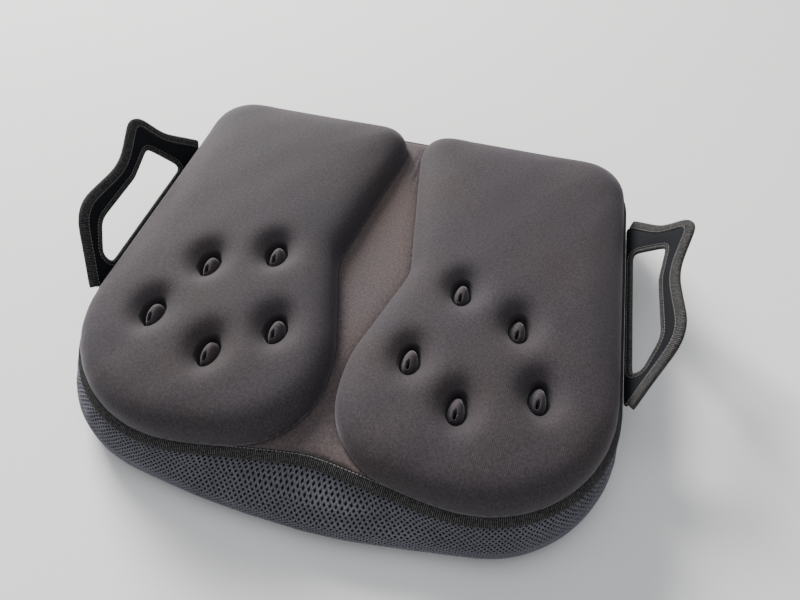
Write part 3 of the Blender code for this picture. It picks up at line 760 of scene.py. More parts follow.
class CushionPadSettings(bpy.types.PropertyGroup):
    edge_roll: length_property("Edge roll", "Width of the rounded edge", 0.032)
    roundness: number_property("Roundness", "2 is an ellipse, more is squarer", 2.5)
    crown: length_property("Crown", "Extra height in the middle of a pad", 0.0030)
    undulation: length_property("Undulation", "Soft unevenness of the foam under the cover", 0.00022)
    spacing: length_property("Spacing", "Distance between the points of the cover", 0.0026)
    wall: length_property("Cover", "Thickness of the knit cover", 0.0012)
    swell: length_property("Swell", "Most that the cover may swell over its foam", 0.0018)
    pressure: number_property("Pressure", "Push of the foam under the cover", 4.0)
    funnel_depth: length_property("Funnel depth", "Soft hollow round a vent", 0.0088)
    funnel_width: length_property("Funnel width", "Reach of the hollow round a vent", 0.0094)
    well_depth: length_property("Well depth", "Drop at the rim of a vent", 0.0080)
    nub_rise: length_property("Nub", "Height of the nub in a vent", 0.0166)


class CushionTapeSettings(bpy.types.PropertyGroup):
    rib_pitch: length_property("Rib pitch", "Distance between the ribs of the tape", 0.0014)
    rib_height: length_property("Rib height", "Half the height of a rib", 0.00020)
    stitch_pitch: length_property("Stitch pitch", "Distance between stitches", 0.0029)
    thread: length_property("Thread", "Thickness of the sewing thread", 0.0008)


class CushionMeshSettings(bpy.types.PropertyGroup):
    pitch: length_property("Pitch", "Distance between holes along the band", 0.0043)
    row_height: length_property("Row height", "Distance between rows of holes", 0.0019)
    hole_share: number_property("Hole share", "Hole width as a share of a cell", 0.54)
    dish: length_property("Dish", "Dip of the threads towards a hole", 0.00055)
    depth: length_property("Depth", "Depth of a hole", 0.0006)
    pucker: length_property("Pucker", "Unevenness where the band is sewn in", 0.0007)


class CushionColours(bpy.types.PropertyGroup):
    pad: colour_property("Pads", "Knit of the pads", (0.051, 0.0425, 0.0470))
    channel: colour_property("Channel", "Knit of the channel", (0.108, 0.085, 0.084))
    # Painted shade between the tape's ribs and painted highlight on their crests
    tape_groove_shade: colour_property("Tape grooves", "Between the ribs of the tape", (0.005, 0.005, 0.0055))
    tape_crest_highlight: colour_property("Tape crests", "Crests of the tape's ribs", (0.088, 0.086, 0.084))
    mesh: colour_property("Mesh", "Threads of the side band", (0.138, 0.136, 0.160))
    # Painted shade inside the side band's holes
    mesh_hole_shade: colour_property("Mesh holes", "Depth of the side band's holes", (0.002, 0.002, 0.004))
    handle: colour_property("Handles", "Laminated cloth of the handles", (0.0080, 0.0086, 0.0110))
    thread: colour_property("Thread", "Sewing thread", (0.17, 0.17, 0.175))
    foam: colour_property("Foam", "Foam inside", (0.420, 0.380, 0.220))
    grip: colour_property("Underside", "Non-slip cloth below", (0.018, 0.018, 0.019))


class CushionStageSettings(bpy.types.PropertyGroup):
    camera: bpy.props.FloatVectorProperty(
        name="Camera",
        description="Place of the camera",
        default=(0.0931, -0.3236, 0.4571),
        unit="LENGTH",
    )
    turn: number_property("Turn", "Camera's turn about Z, in degrees", 11.628)
    rise: number_property("Rise", "Camera's rise over the cushion, in degrees", 52.466)
    roll: number_property("Roll", "Camera's roll, in degrees", 2.671)
    lens: number_property("Lens", "Focal length in millimetres", 27.0)


SETTINGS = {
    "cushion_pads": CushionPadSettings,
    "cushion_tapes": CushionTapeSettings,
    "cushion_mesh": CushionMeshSettings,
    "cushion_colours": CushionColours,
    "cushion_stage": CushionStageSettings,
}


# Pads


def vent_centres(side_name):
    centres = []
    for number in range(1, 6):
        low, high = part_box(f"{side_name}_vent_nub_{number}")
        centres.append(((low.x + high.x) / 2, (low.y + high.y) / 2))
    return centres


def vent_half_sizes():
    low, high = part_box("right_vent_nub_1")
    return (high.x - low.x) / 2, (high.y - low.y) / 2


def rim_distance(points, centre, widen=0.0):
    """How far each point lies outside a vent's oval rim."""
    half_width, half_length = vent_half_sizes()
    away = points - np.array(centre)
    reach = np.hypot(away[:, 0], away[:, 1]) + 1e-9
    share = np.hypot(away[:, 0] / (half_width + widen), away[:, 1] / (half_length + widen)) + 1e-9
    return reach - reach / share


def pad_heights(points, outline, settings, side_name, start_low, vents=True, widen=0.0):
    """Height of the cover above the pad's foot."""
    low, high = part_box(side_name + "_pad_cover")
    depth = distance_to(points, outline)
    depth[~inside(points, outline)] = 0.0
    full = high.z - low.z - start_low + settings.crown * smoothstep(depth / CROWN_REACH)
    wander = np.sin(points[:, 0] * 61.0 + 1.3) * np.sin(points[:, 1] * 47.0 + 0.4)
    wander = wander + 0.6 * np.sin(points[:, 0] * 117.0 - points[:, 1] * 83.0)
    full = full + settings.undulation * wander * smoothstep(depth / 0.05)
    edge = 1 - np.clip(depth / settings.edge_roll, 0, 1)
    rise = full * (1 - edge**settings.roundness) ** (1 / settings.roundness)
    return rise - (vent_depths(points, settings, side_name, widen) if vents else 0.0)


def vent_depths(points, settings, side_name, widen=0.0):
    """How far the vents sink the cover: a soft funnel, then a steep rim."""
    drop = np.zeros(len(points))
    for centre in vent_centres(side_name):
        outside = rim_distance(points, centre, widen)
        funnel = settings.funnel_depth * np.exp(-((np.clip(outside, 0, None) / settings.funnel_width) ** 1.5))
        well = settings.well_depth * smoothstep((0.0016 - outside) / 0.0026)
        drop = drop + np.where(outside < 0.035, funnel + well, 0.0)
    return drop


def pad_points(outline, settings, side_name):
    """Points of the cover: loops up its edge, rings round its vents and a grid between them."""
    foot = respaced(outline, settings.spacing)
    loops = []
    for degrees in (0, 3, 7, 12, 18, 25, 32, 40, 48, 55):
        share = math.cos(math.radians(degrees)) ** (2 / settings.roundness)
        loops.append(offset_loop(foot, -settings.edge_roll * (1 - share)))
    last = settings.edge_roll * (1 - share)
    low, high = foot.min(axis=0), foot.max(axis=0)
    grid = spread_grid(low, high, settings.spacing)
    grid = grid[inside(grid, foot)]
    grid = grid[distance_to(grid, foot) > last + 0.6 * settings.spacing]
    half_width, half_length = vent_half_sizes()
    rings = []
    steps = np.array([-6.5, -4.6, -3.0, -1.9, -1.2, -0.8, -0.4, 0.0, 0.4, 0.8, 1.2])
    steps = 0.001 * np.concatenate([steps, [1.8, 2.6, 3.6, 4.8, 6.2, 7.9, 9.9, 12.2]])
    for centre in vent_centres(side_name):
        grid = grid[rim_distance(grid, centre) > steps[-1] + 0.5 * settings.spacing]
        rings.append(np.array([centre]))
        for step in steps:
            width, length = half_width + step, half_length + step
            count = max(10, int(math.pi * (width + length) / 0.0016))
            angle = np.arange(count) * 2 * math.pi / count
            ring = np.stack([centre[0] + width * np.cos(angle), centre[1] + length * np.sin(angle)], axis=1)
            rings.append(ring)
    return foot, np.vstack([*loops, grid, *rings])


def coordinates(mesh):
    flat = np.empty(len(mesh.vertices) * 3, np.float32)
    mesh.vertices.foreach_get("co", flat)
    return flat.reshape(-1, 3).astype(float)


def swollen(piece, sewn, settings):
    """Lets the cover swell over its foam as cloth that is sewn down at its foot."""
    begin = coordinates(piece.data)
    group = piece.vertex_groups.new(name="Sewn foot")
    group.add(np.flatnonzero(sewn).tolist(), 1.0, "REPLACE")
    cloth = piece.modifiers.new("Cloth", "CLOTH")
    cloth.settings.vertex_group_mass = group.name
    cloth.settings.use_pressure = True
    cloth.settings.uniform_pressure_force = settings.pressure
    cloth.settings.effector_weights.gravity = 0.0
    cloth.settings.tension_stiffness = 40.0
    cloth.settings.compression_stiffness = 40.0
    cloth.settings.bending_stiffness = 2.0
    cloth.collision_settings.use_collision = False
    scene = bpy.context.scene
    for number in range(1, SETTLING_FRAMES + 1):
        scene.frame_set(number)
    graph = bpy.context.evaluated_depsgraph_get()
    settled = piece.evaluated_get(graph)
    end = coordinates(settled.data)
    piece.modifiers.remove(cloth)
    piece.vertex_groups.clear()
    scene.frame_set(1)
    move = end - begin
    size = np.linalg.norm(move, axis=1)[:, None] + 1e-12
    move *= settings.swell * np.tanh(size / settings.swell) / size
    edges = np.empty(len(piece.data.edges) * 2, np.int32)
    piece.data.edges.foreach_get("vertices", edges)
    first, second = edges.reshape(-1, 2).T
    meeting = np.bincount(edges, minlength=len(move))[:, None]
    for _ in range(EVENING_ROUNDS):
        around = np.zeros_like(move)
        np.add.at(around, first, move[second])
        np.add.at(around, second, move[first])
        move = np.where(sewn[:, None], 0.0, (move + around / meeting) / 2)
    piece.data.vertices.foreach_set("co", (begin + move).ravel())


def shade_points(piece, hollow):
    """Stores painted shade for the knit on each point, from 0 to 1, where 1 paints it darkest, as the shade
    in a vent.
    """
    values = piece.data.attributes.new("hollow", "FLOAT", "POINT").data
    values.foreach_set("value", np.asarray(hollow, np.float32))


def make_pad(side_name, settings, material, foam_material):
    low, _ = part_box(side_name + "_pad_cover")
    outline = outline_of(side_name + "_pad_cover", low.z + 0.00005)
    foot, spread = pad_points(outline, settings, side_name)
    flat, faces = triangles_over(thinned(spread, 0.00018), foot)
    rise = pad_heights(flat, foot, settings, side_name, settings.swell, vents=False)
    points = np.column_stack([flat, low.z + rise])
    cover = new_piece(side_name + "_pad", points, faces, material)
    sewn = distance_to(flat, foot) < 0.0002
    swollen(cover, sewn, settings)
    points = coordinates(cover.data)
    points[:, 2] -= vent_depths(points[:, :2], settings, side_name)
    cover.data.vertices.foreach_set("co", points.ravel())
    # Painted shade round each vent, strongest inside its rim and fading over about 3.4 mm outside it
    hollow = np.zeros(len(points), np.float32)
    for centre in vent_centres(side_name):
        outside = np.clip(rim_distance(points[:, :2], centre), 0, None)
        hollow = np.maximum(hollow, np.exp(-outside / 0.0034))
    shade_points(cover, hollow)
    cover.data.update()
    cover = thick_shell(cover, settings.wall)
    mounted(cover, "cushion", "pad_fabric", side_name + "_pad_cover")

    # The foam fills the cover, with its own wider wells
    inner = offset_loop(foot, -2.2 * settings.wall)
    coarse = thinned(np.vstack([inner, spread[inside(spread, offset_loop(inner, -0.001))]]), 0.0022)
    flat, faces = triangles_over(coarse, inner)
    rise = pad_heights(flat, inner, settings, side_name, settings.swell + 3.2 * settings.wall, widen=0.0015)
    floor = low.z + 0.0002
    top = np.column_stack([flat, np.maximum(low.z + rise, floor + 0.0004)])
    base = np.column_stack([flat, np.full(len(flat), floor)])
    closed = closed_between(top, base, faces)
    foam = new_piece(side_name + "_pad_filling", *closed, foam_material)
    mounted(foam, "cushion", "foam", side_name + "_pad_foam")
    return outline


def closed_between(top, base, faces):
    """Points and faces of the closed body between a sheet and the same sheet lower down."""
    count = len(top)
    edges = np.vstack([faces[:, [0, 1]], faces[:, [1, 2]], faces[:, [2, 0]]])
    ordered = np.sort(edges, axis=1)
    _, first, times = np.unique(ordered, axis=0, return_index=True, return_counts=True)
    rim = edges[first[times == 1]]
    walls = [(a, a + count, b) for a, b in rim.tolist()]
    walls += [(b, a + count, b + count) for a, b in rim.tolist()]
    lower = (faces[:, ::-1] + count).tolist()
    return np.vstack([top, base]), faces.tolist() + lower + walls


def make_nub(name, centre, settings, material):
    """An egg-shaped nub in its well, narrower at its rear, with a slit towards its front."""
    low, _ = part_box(name.replace("_vent_", "_vent_nub_"))
    half_width, half_length = (half - 0.0010 for half in vent_half_sizes())
    slit, slit_half = np.array([-0.0006, -0.0050]), np.array([0.0013, 0.0028])
    slit_depth, rear_rise, narrowing = 0.0075, 0.24, 0.16
    sides, rounds = 48, 16
    angle = np.arange(sides) * 2 * math.pi / sides
    circle = np.stack([np.cos(angle), np.sin(angle)], axis=1)
    reaches = np.sin(np.linspace(0, math.pi / 2, rounds + 1))[1:]
    unit = np.vstack([np.zeros((1, 2)), *(reach * circle for reach in reaches)])
    width = half_width * (1 - narrowing * (1 + unit[:, 1]) / 2)
    oval = np.column_stack([unit[:, 0] * width, unit[:, 1] * half_length])
    lips = [slit + share * slit_half * circle[::2] for share in (0.25, 0.6, 0.85, 1.0, 1.15, 1.35)]
    flat, faces = triangles_over(thinned(np.vstack([oval, *lips]), 0.0003), oval[-sides:])
    across = flat[:, 0] / (half_width * (1 - narrowing * (1 + flat[:, 1] / half_length) / 2))
    reach = np.clip(np.hypot(across, flat[:, 1] / half_length), 0, 1)
    rise = settings.nub_rise * (1 - reach**2.6) ** (1 / 2.1) + rear_rise * flat[:, 1] * (1 - reach)
    slit_share = np.hypot(*((flat - slit) / slit_half).T)
    rise = rise - slit_depth * smoothstep((1.25 - slit_share) / 0.55)
    flat = flat + np.array(centre)
    top = np.column_stack([flat, low.z + 0.0004 + np.maximum(rise, 0)])
    base = np.column_stack([flat, np.full(len(flat), low.z)])
    points, closed = closed_between(top, base, faces)
    nub = new_piece(name, points, closed, material)
    # Painted shade in the slit: the knit is painted near black inside it
    shade_points(nub, np.tile(smoothstep((1.2 - slit_share) / 0.4), 2))
    return nub


class CUSHION_OT_make_pads(bpy.types.Operator):
    """Make the two knit-covered pads with their foam, swollen over it and sunk at the vents"""

    bl_idname = "cushion.make_pads"
    bl_label = "Make Pads"

    def execute(self, context):
        colours = context.scene.cushion_colours
        knit = knit_finish("pad_knit", tuple(colours.pad), 0.14)
        foam = foam_finish("pale_foam", tuple(colours.foam))
        for side_name, _ in SIDES:
            make_pad(side_name, context.scene.cushion_pads, knit, foam)
        frame["nodes"]["base_foam_core"].data.materials.clear()
        frame["nodes"]["base_foam_core"].data.materials.append(foam)
        return {"FINISHED"}


class CUSHION_OT_make_vents(bpy.types.Operator):
    """Make the egg-shaped nubs with their slits"""

    bl_idname = "cushion.make_vents"
    bl_label = "Make Vent Nubs"

    def execute(self, context):
        colours = context.scene.cushion_colours
        # The nubs' knit is the pads' colour lightened by 1.25, a painted light that makes up for the shade of
        # their wells, with painted shade down to 0.04 of it in the slits
        knit = knit_finish("nub_knit", scaled(tuple(colours.pad), 1.25), 0.25, shade=0.04)
        for side_name, _ in SIDES:
            for number, centre in enumerate(vent_centres(side_name), start=1):
                node = f"{side_name}_vent_nub_{number}"
                nub = make_nub(f"{side_name}_vent_{number}", centre, context.scene.cushion_pads, knit)
                mounted(nub, "cushion", "vent_nub", node)
        return {"FINISHED"}


# Channel cover


def channel_heights(points, feet, border):
    """The cover puffs up between the pads and dips at every seam."""
    seam = distance_to(points, border)
    under = np.zeros(len(points), bool)
    for foot in feet:
        seam = np.minimum(seam, distance_to(points, foot))
        under |= inside(points, foot)
    puff = 0.0021 * (1 - np.exp(-seam / 0.0055))
    x, back = points[:, 0], border[:, 1].max() - points[:, 1]

    # Fine folds across the narrow rear of the channel, and one sharper crease that runs on from them
    folds = 0.0007 * np.sin(x * 900.0 + back * 60.0) * np.exp(-(((back - 0.045) / 0.022) ** 2))
    crease = np.exp(-(((x + 0.42 * (back - 0.060)) / 0.0016) ** 2))
    folds += 0.0008 * crease * np.exp(-(((back - 0.058) / 0.012) ** 2))
    return np.where(under, -0.0003, puff + folds * np.clip(seam / 0.004, 0, 1))


class CUSHION_OT_make_channel_cover(bpy.types.Operator):
    """Make the paler knit cover of the base, puffed between the pads"""

    bl_idname = "cushion.make_channel_cover"
    bl_label = "Make Channel Cover"

    def execute(self, context):
        low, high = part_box("top_panel")
        border = outline_of("top_panel", (low.z + high.z) / 2)
        border = offset_loop(respaced(border, 0.003), COVER_WALL)
        feet = []
        for side_name, _ in SIDES:
            foot_low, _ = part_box(side_name + "_pad_cover")
            foot = outline_of(side_name + "_pad_cover", foot_low.z + 0.00005)
            feet.append(respaced(foot, 0.0026))
        grid = spread_grid(border.min(axis=0), border.max(axis=0), 0.0027)
        grid = grid[inside(grid, border)]
        grid = grid[distance_to(grid, border) > 0.002]
        for foot in feet:
            sunk = inside(grid, foot) & (distance_to(grid, foot) > 0.008)
            rare = (np.arange(len(grid)) % 17) == 0
            grid = grid[~sunk | rare]
        rings = [offset_loop(foot, out) for foot in feet for out in (-0.0012, 0.0, 0.0008, 0.0018, 0.0032)]
        rings = np.vstack(rings)
        rings = rings[inside(rings, border)]
        flat, faces = triangles_over(thinned(np.vstack([border, rings, grid]), 0.0005), border)
        points = np.column_stack([flat, high.z + channel_heights(flat, feet, border)])
        colours = context.scene.cushion_colours
        knit = knit_finish("channel_knit", tuple(colours.channel), 0.10)
        cover = new_piece("channel_cover", points, faces, knit)
        cover = thick_shell(cover, COVER_WALL)
        mounted(cover, "cushion", "channel_fabric", "top_panel")
        return {"FINISHED"}


# Tapes


def tape_profile(name, width, thickness, tilt, sides=12):
    """A flat rounded section, its outer edge tipped down by the tilt."""
    points = []
    for k in range(sides):
        angle = 2 * math.pi * k / sides
        x = math.copysign(abs(math.cos(angle)) ** 0.75, math.cos(angle)) * width / 2
        y = math.copysign(abs(math.sin(angle)) ** 0.85, math.sin(angle)) * thickness / 2
        points.append((x * math.cos(tilt) - y * math.sin(tilt), x * math.sin(tilt) + y * math.cos(tilt)))
    return path_object(name, np.array(points), True)


def ribbed_tape(name, path, closed, section, tapes, material):
    """A ribbed tape along a flat path. Its section is width, thickness and tilt."""
    profile = tape_profile(name + "_profile", *section)
    tree = bpy.data.node_groups.get("Ribbed Tape") or ribbed_tape_tree()
    values = {
        "Profile": profile,
        "Points": 4 * round(path_length(path, closed) / tapes.rib_pitch),
        "Rib Height": tapes.rib_height,
        "Material": material,
    }
    tape = grown(path_object(name + "_path", path, closed), tree, values, name)
    bpy.data.objects.remove(profile, do_unlink=True)
    return tape


def stitch_row(name, path, closed, tapes, material, height=0.0):
    """A row of stitches along a path, raised by the height."""
    tree = bpy.data.node_groups.get("Stitches") or stitch_tree()
    values = {
        "Stitches": round(path_length(path, closed) / tapes.stitch_pitch),
        "Thread": tapes.thread,
        "Length": 0.8 * tapes.stitch_pitch,
        "Material": material,
    }
    row = grown(path_object(name + "_path", path, closed), tree, values, name)
    row.data.transform(Matrix.Translation((0, 0, height)))
    return row


def tape_materials(context):
    colours = context.scene.cushion_colours
    ribs = bpy.data.materials.get("ribbed_tape")
    if ribs is None:
        ribs = rib_finish("ribbed_tape", tuple(colours.tape_groove_shade), tuple(colours.tape_crest_highlight))
    thread = bpy.data.materials.get("sewing_thread")
    if thread is None:
        thread = thread_finish("sewing_thread", tuple(colours.thread))
    return ribs, thread


class CUSHION_OT_make_top_binding(bpy.types.Operator):
    """Make the ribbed tape round the top seam, with its row of stitches"""

    bl_idname = "cushion.make_top_binding"
    bl_label = "Make Top Binding"

    def execute(self, context):
        tapes = context.scene.cushion_tapes
        ribs, thread = tape_materials(context)
        panel_low, panel_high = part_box("top_panel")
        tape_low, tape_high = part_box("top_binding")
        reach = (tape_high.x - panel_high.x) / 2
        height = (tape_low.z + tape_high.z) / 2
        path = offset_loop(outline_of("top_panel", (panel_low.z + panel_high.z) / 2), reach)
        tape = ribbed_tape("top_seam_tape", path, True, SEAM_TAPE, tapes, ribs)
        tape.data.transform(Matrix.Translation((0, 0, height)))
        mounted(tape, "cushion", "binding_tape", "top_binding")
        inner = offset_loop(path, -0.0021)
        stitches = stitch_row("top_seam_stitches", inner, True, tapes, thread, tape_high.z + 0.0002)
        mounted(stitches, "cushion", "binding_tape")
        return {"FINISHED"}


# Side band


def band_surface(settings):
    """The bulging side as a grid with a UV map, from its bottom edge up to the tape."""
    low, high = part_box("mesh_gusset")
    _, core_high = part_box("base_foam_core")
    gap = high.x - core_high.x
    loops = []
    for share in BAND_CUTS:
        height = low.z + share * (high.z - low.z)
        loop = offset_loop(outline_of("base_foam_core", height, 0.006), gap)
        loops.append(np.column_stack([resampled(loop, BAND_COLUMNS), np.full(BAND_COLUMNS, height)]))
    tucked = offset_loop(loops[-1][:, :2], -0.0022)  # the top edge goes in under the tape
    loops.append(np.column_stack([tucked, np.full(BAND_COLUMNS, high.z + 0.0016)]))
    loops = np.array(loops)
    steps = np.linalg.norm(np.diff(loops, axis=0), axis=2).mean(axis=1)
    knots = np.concatenate([[0.0], np.cumsum(steps)])
    rows = BAND_ROWS
    places = np.linspace(0, knots[-1], rows)
    slopes = np.gradient(loops, knots, axis=0)
    surface = np.empty((rows, BAND_COLUMNS, 3))
    for number, place in enumerate(places):
        k = min(int(np.searchsorted(knots, place, side="right")) - 1, len(knots) - 2)
        span = knots[k + 1] - knots[k]
        t = (place - knots[k]) / span
        surface[number] = (
            (2 * t**3 - 3 * t**2 + 1) * loops[k]
            + (t**3 - 2 * t**2 + t) * span * slopes[k]
            + (3 * t**2 - 2 * t**3) * loops[k + 1]
            + (t**3 - t**2) * span * slopes[k + 1]
        )
    around = np.arange(BAND_COLUMNS) / BAND_COLUMNS * loop_length(loops[3])
    turn = around * 2 * math.pi
    ripple = np.sin(turn / 0.031) + 0.7 * np.sin(turn / 0.0183 + 1.0)
    sag = np.sin(turn / 0.121 + 0.5)
    for number in range(rows):
        out = outward_normals(surface[number][:, :2])
        share = number / (rows - 1)
        waves = 1.2 * max(0.0, share - 0.45) * ripple + 0.8 * math.sin(math.pi * share) * sag
        push = settings.pucker * waves
        surface[number][:, :2] += out * push[:, None]
    return surface, float(knots[-1]), float(loop_length(loops[3]))


class CUSHION_OT_make_side_band(bpy.types.Operator):
    """Make the perforated spacer mesh round the side, open at the zip"""

    bl_idname = "cushion.make_side_band"
    bl_label = "Make Side Band"

    def execute(self, context):
        settings = context.scene.cushion_mesh
        colours = context.scene.cushion_colours
        surface, height, length = band_surface(settings)
        rows, count, _ = surface.shape
        closed = np.concatenate([surface, surface[:, :1]], axis=1)
        points = closed.reshape(-1, 3)
        faces = []
        corners = []
        for row in range(rows - 1):
            for k in range(count):
                a = row * (count + 1) + k
                b = a + count + 1
                faces.append((a, a + 1, b + 1, b))
                for column, line in ((k, row), (k + 1, row), (k + 1, row + 1), (k, row + 1)):
                    corners.append((column / count, line / (rows - 1)))
        source = new_piece("band_surface", points, faces)
        source.data.uv_layers.new(name="band")
        source.data.uv_layers["band"].data.foreach_set("uv", np.array(corners, np.float32).ravel())

        # The window for the zip, found on the surface itself
        low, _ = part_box("zip_tape_lower")
        _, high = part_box("zip_tape_upper")
        rear = points[:, 1] > 0.9 * points[:, 1].max()
        window = rear & (points[:, 0] > low.x) & (points[:, 0] < high.x)
        window &= (points[:, 2] > low.z) & (points[:, 2] < high.z)
        places = np.flatnonzero(window)
        columns, lines = places % (count + 1), places // (count + 1)
        window_low = (columns.min() / count, lines.min() / (rows - 1), 0.0)
        window_high = (columns.max() / count, lines.max() / (rows - 1), 0.0)

        mesh = spacer_finish("spacer_mesh_knit", tuple(colours.mesh), tuple(colours.mesh_hole_shade))
        columns_count = round(length / settings.pitch)
        row_count = round(height / settings.row_height)
        values = {
            "Columns": columns_count,
            "Rows": row_count,
            "Pitch": length / columns_count,
            "Row Height": height / row_count,
            "Hole Share": settings.hole_share,
            "Dish": settings.dish,
            "Depth": settings.depth,
            "Window Low": window_low,
            "Window High": window_high,
            "Material": mesh,
        }
        band = grown(source, perforated_tree(), values, "side_mesh_band")
        mounted(band, "cushion", "spacer_mesh", "mesh_gusset")
        return {"FINISHED"}


# Handles


def handle_frame(side_name, side):
    """The matrix from a handle's flat frame (out, along, up from its face) to its place."""
    joint = next(j for j in frame["joints"] if j["name"] == side_name + "_handle_fold")
    origin = Vector(joint["pos_m"])
    points = coordinates(frame["nodes"][side_name + "_handle_panel"].data)
    normal = Vector(np.linalg.svd(points - points.mean(axis=0), full_matrices=False)[2][2])
    if normal.z < 0:
        normal = -normal
    along = Vector((0, side, 0))
    out = along.cross(normal).normalized()
    if out.x * side < 0:
        raise RuntimeError(side_name + " handle's frame points inwards")
    matrix = Matrix((out, along, out.cross(along))).transposed().to_4x4()
    matrix.translation = origin
    return matrix


def flat_loops(node, matrix):
    """A node's outlines in the handle's flat frame, cut through the middle of its thickness."""
    normal = matrix.col[2].to_3d()
    loops = section_loops(node, matrix.translation, normal)
    turned = matrix.inverted()
    return [counter_clockwise(np.array([(turned @ Vector(p))[:2] for p in loop])) for loop in loops]


def free_edge(loop, root):
    """The part of a panel's outline that isn't at the fold line, as an open path."""
    points = respaced(loop, 0.0015)
    at_root = points[:, 0] < root
    start = int(np.flatnonzero(at_root & ~np.roll(at_root, -1))[0])
    points = np.roll(points, -start - 1, axis=0)
    at_root = points[:, 0] < root
    return points[: int(np.flatnonzero(at_root)[0])]


def smooth_path(path, width=0.002):
    """The open path with its facets smoothed out, its ends kept."""
    steps = np.linalg.norm(np.diff(path, axis=0), axis=1)
    along = np.concatenate([[0.0], np.cumsum(steps)])
    places = np.linspace(0, along[-1], int(along[-1] / PATH_STEP))
    even = np.stack([np.interp(places, along, path[:, k]) for k in range(2)], axis=1)
    reach, weights = bell(width, PATH_STEP)
    longer = np.pad(even, ((reach, reach), (0, 0)), mode="edge")
    return np.stack([np.convolve(longer[:, k], weights, mode="valid") for k in range(2)], axis=1)


def side_normals(path):
    along = np.gradient(path, axis=0)
    along /= np.linalg.norm(along, axis=1)[:, None]
    return np.stack([along[:, 1], -along[:, 0]], axis=1)


def bowed(piece, matrix, bow):
    """Bends a flat handle piece a little towards the cushion at its middle, then puts it in its place."""
    points = coordinates(piece.data)
    points[:, 2] += bow * np.sin(np.clip(points[:, 0] / 0.07, 0, 1) * math.pi)
    points[:, 2] += 0.35 * bow * np.sin(points[:, 1] * 52.0) * smoothstep(points[:, 0] / 0.02)
    piece.data.vertices.foreach_set("co", points.ravel())
    piece.data.transform(matrix)
    piece.data.update()
    return piece


def make_handle(context, side_name, side, laminate):
    tapes = context.scene.cushion_tapes
    ribs, thread = tape_materials(context)
    matrix = handle_frame(side_name, side)
    body = side_name + "_handle"
    bow = 0.0012  # how far the handle bends at its middle
    loops = flat_loops(side_name + "_handle_panel", matrix)
    outer, hole = loops[0], loops[1]

    # Laminated panel with its hand hole, padded slightly between its edges
    outer = smooth_loop(outer, 0.0040, HANDLE_STEP)
    hole = smooth_loop(hole, 0.0030, HANDLE_STEP)
    rings = [outer, hole, offset_loop(outer, -0.0008), offset_loop(outer, -0.002)]
    rings += [offset_loop(hole, 0.0008), offset_loop(hole, 0.002)]
    grid = spread_grid(outer.min(axis=0), outer.max(axis=0), 0.0022)
    grid = grid[inside(grid, offset_loop(outer, -0.003)) & ~inside(grid, offset_loop(hole, 0.003))]
    spread = np.vstack([*rings, grid])
    spread = spread[inside(spread, offset_loop(outer, 1e-5)) & ~inside(spread, offset_loop(hole, -1e-5))]
    flat, faces = triangles_over(thinned(spread, 0.0004), outer)
    faces = faces[~inside(flat[faces].mean(axis=1), hole)]
    rim = np.minimum(distance_to(flat, outer), distance_to(flat, hole))
    half = 0.0009 + 0.0009 * (1 - np.exp(-rim / 0.0022))
    top = np.column_stack([flat, half])
    base = np.column_stack([flat, -half])
    points, closed = closed_between(top, base, faces)
    panel = bowed(new_piece(side_name + "_handle_flap", points, closed, laminate), matrix, bow)
    mounted(panel, body, "handle_fabric", side_name + "_handle_panel")

    # Ribbed tape folded over the free edge
    edge = smooth_path(free_edge(outer, 0.0022))
    path = edge + side_normals(edge) * 0.0036
    tape = ribbed_tape(side_name + "_handle_tape", path, False, HANDLE_TAPE, tapes, ribs)
    mounted(bowed(tape, matrix, bow), body, "binding_tape", side_name + "_handle_binding")
    for level, face in ((0.0021, "inner"), (-0.0021, "outer")):
        row = edge + side_normals(edge) * 0.0006
        stitches = stitch_row(f"{side_name}_handle_{face}_stitches", row, False, tapes, thread, level)
        mounted(bowed(stitches, matrix, bow), body, "binding_tape")

    # Narrow tape round the hand hole
    path = offset_loop(hole, -0.0014)
    trim = ribbed_tape(side_name + "_hand_hole_tape", path, True, HOLE_TAPE, tapes, ribs)
    mounted(bowed(trim, matrix, bow), body, "binding_tape", side_name + "_hand_hole_trim")
    row = offset_loop(hole, 0.0012)
    stitches = stitch_row(side_name + "_hand_hole_stitches", row, True, tapes, thread, 0.0016)
    mounted(bowed(stitches, matrix, bow), body, "binding_tape")


class CUSHION_OT_make_handles(bpy.types.Operator):
    """Make the two side handles: laminated flaps with ribbed edges and stitched hand holes"""

    bl_idname = "cushion.make_handles"
    bl_label = "Make Handles"

    def execute(self, context):
        laminate = laminate_finish("handle_laminate", tuple(context.scene.cushion_colours.handle))
        for side_name, side in SIDES:
            make_handle(context, side_name, side, laminate)
        return {"FINISHED"}


# Zip


def box_piece(name, low, high, material, bevel):
    mesh = bpy.data.meshes.new(name)
    shape = bmesh.new()
    bmesh.ops.create_cube(shape, size=1.0)
    low, high = Vector(low), Vector(high)
    for vertex in shape.verts:
        vertex.co = Vector([(a + b) / 2 + c * (b - a) for a, b, c in zip(low, high, vertex.co)])
    shape.to_mesh(mesh)
    shape.free()
    return rounded(piece_from(name, mesh, material, smooth=False), bevel)


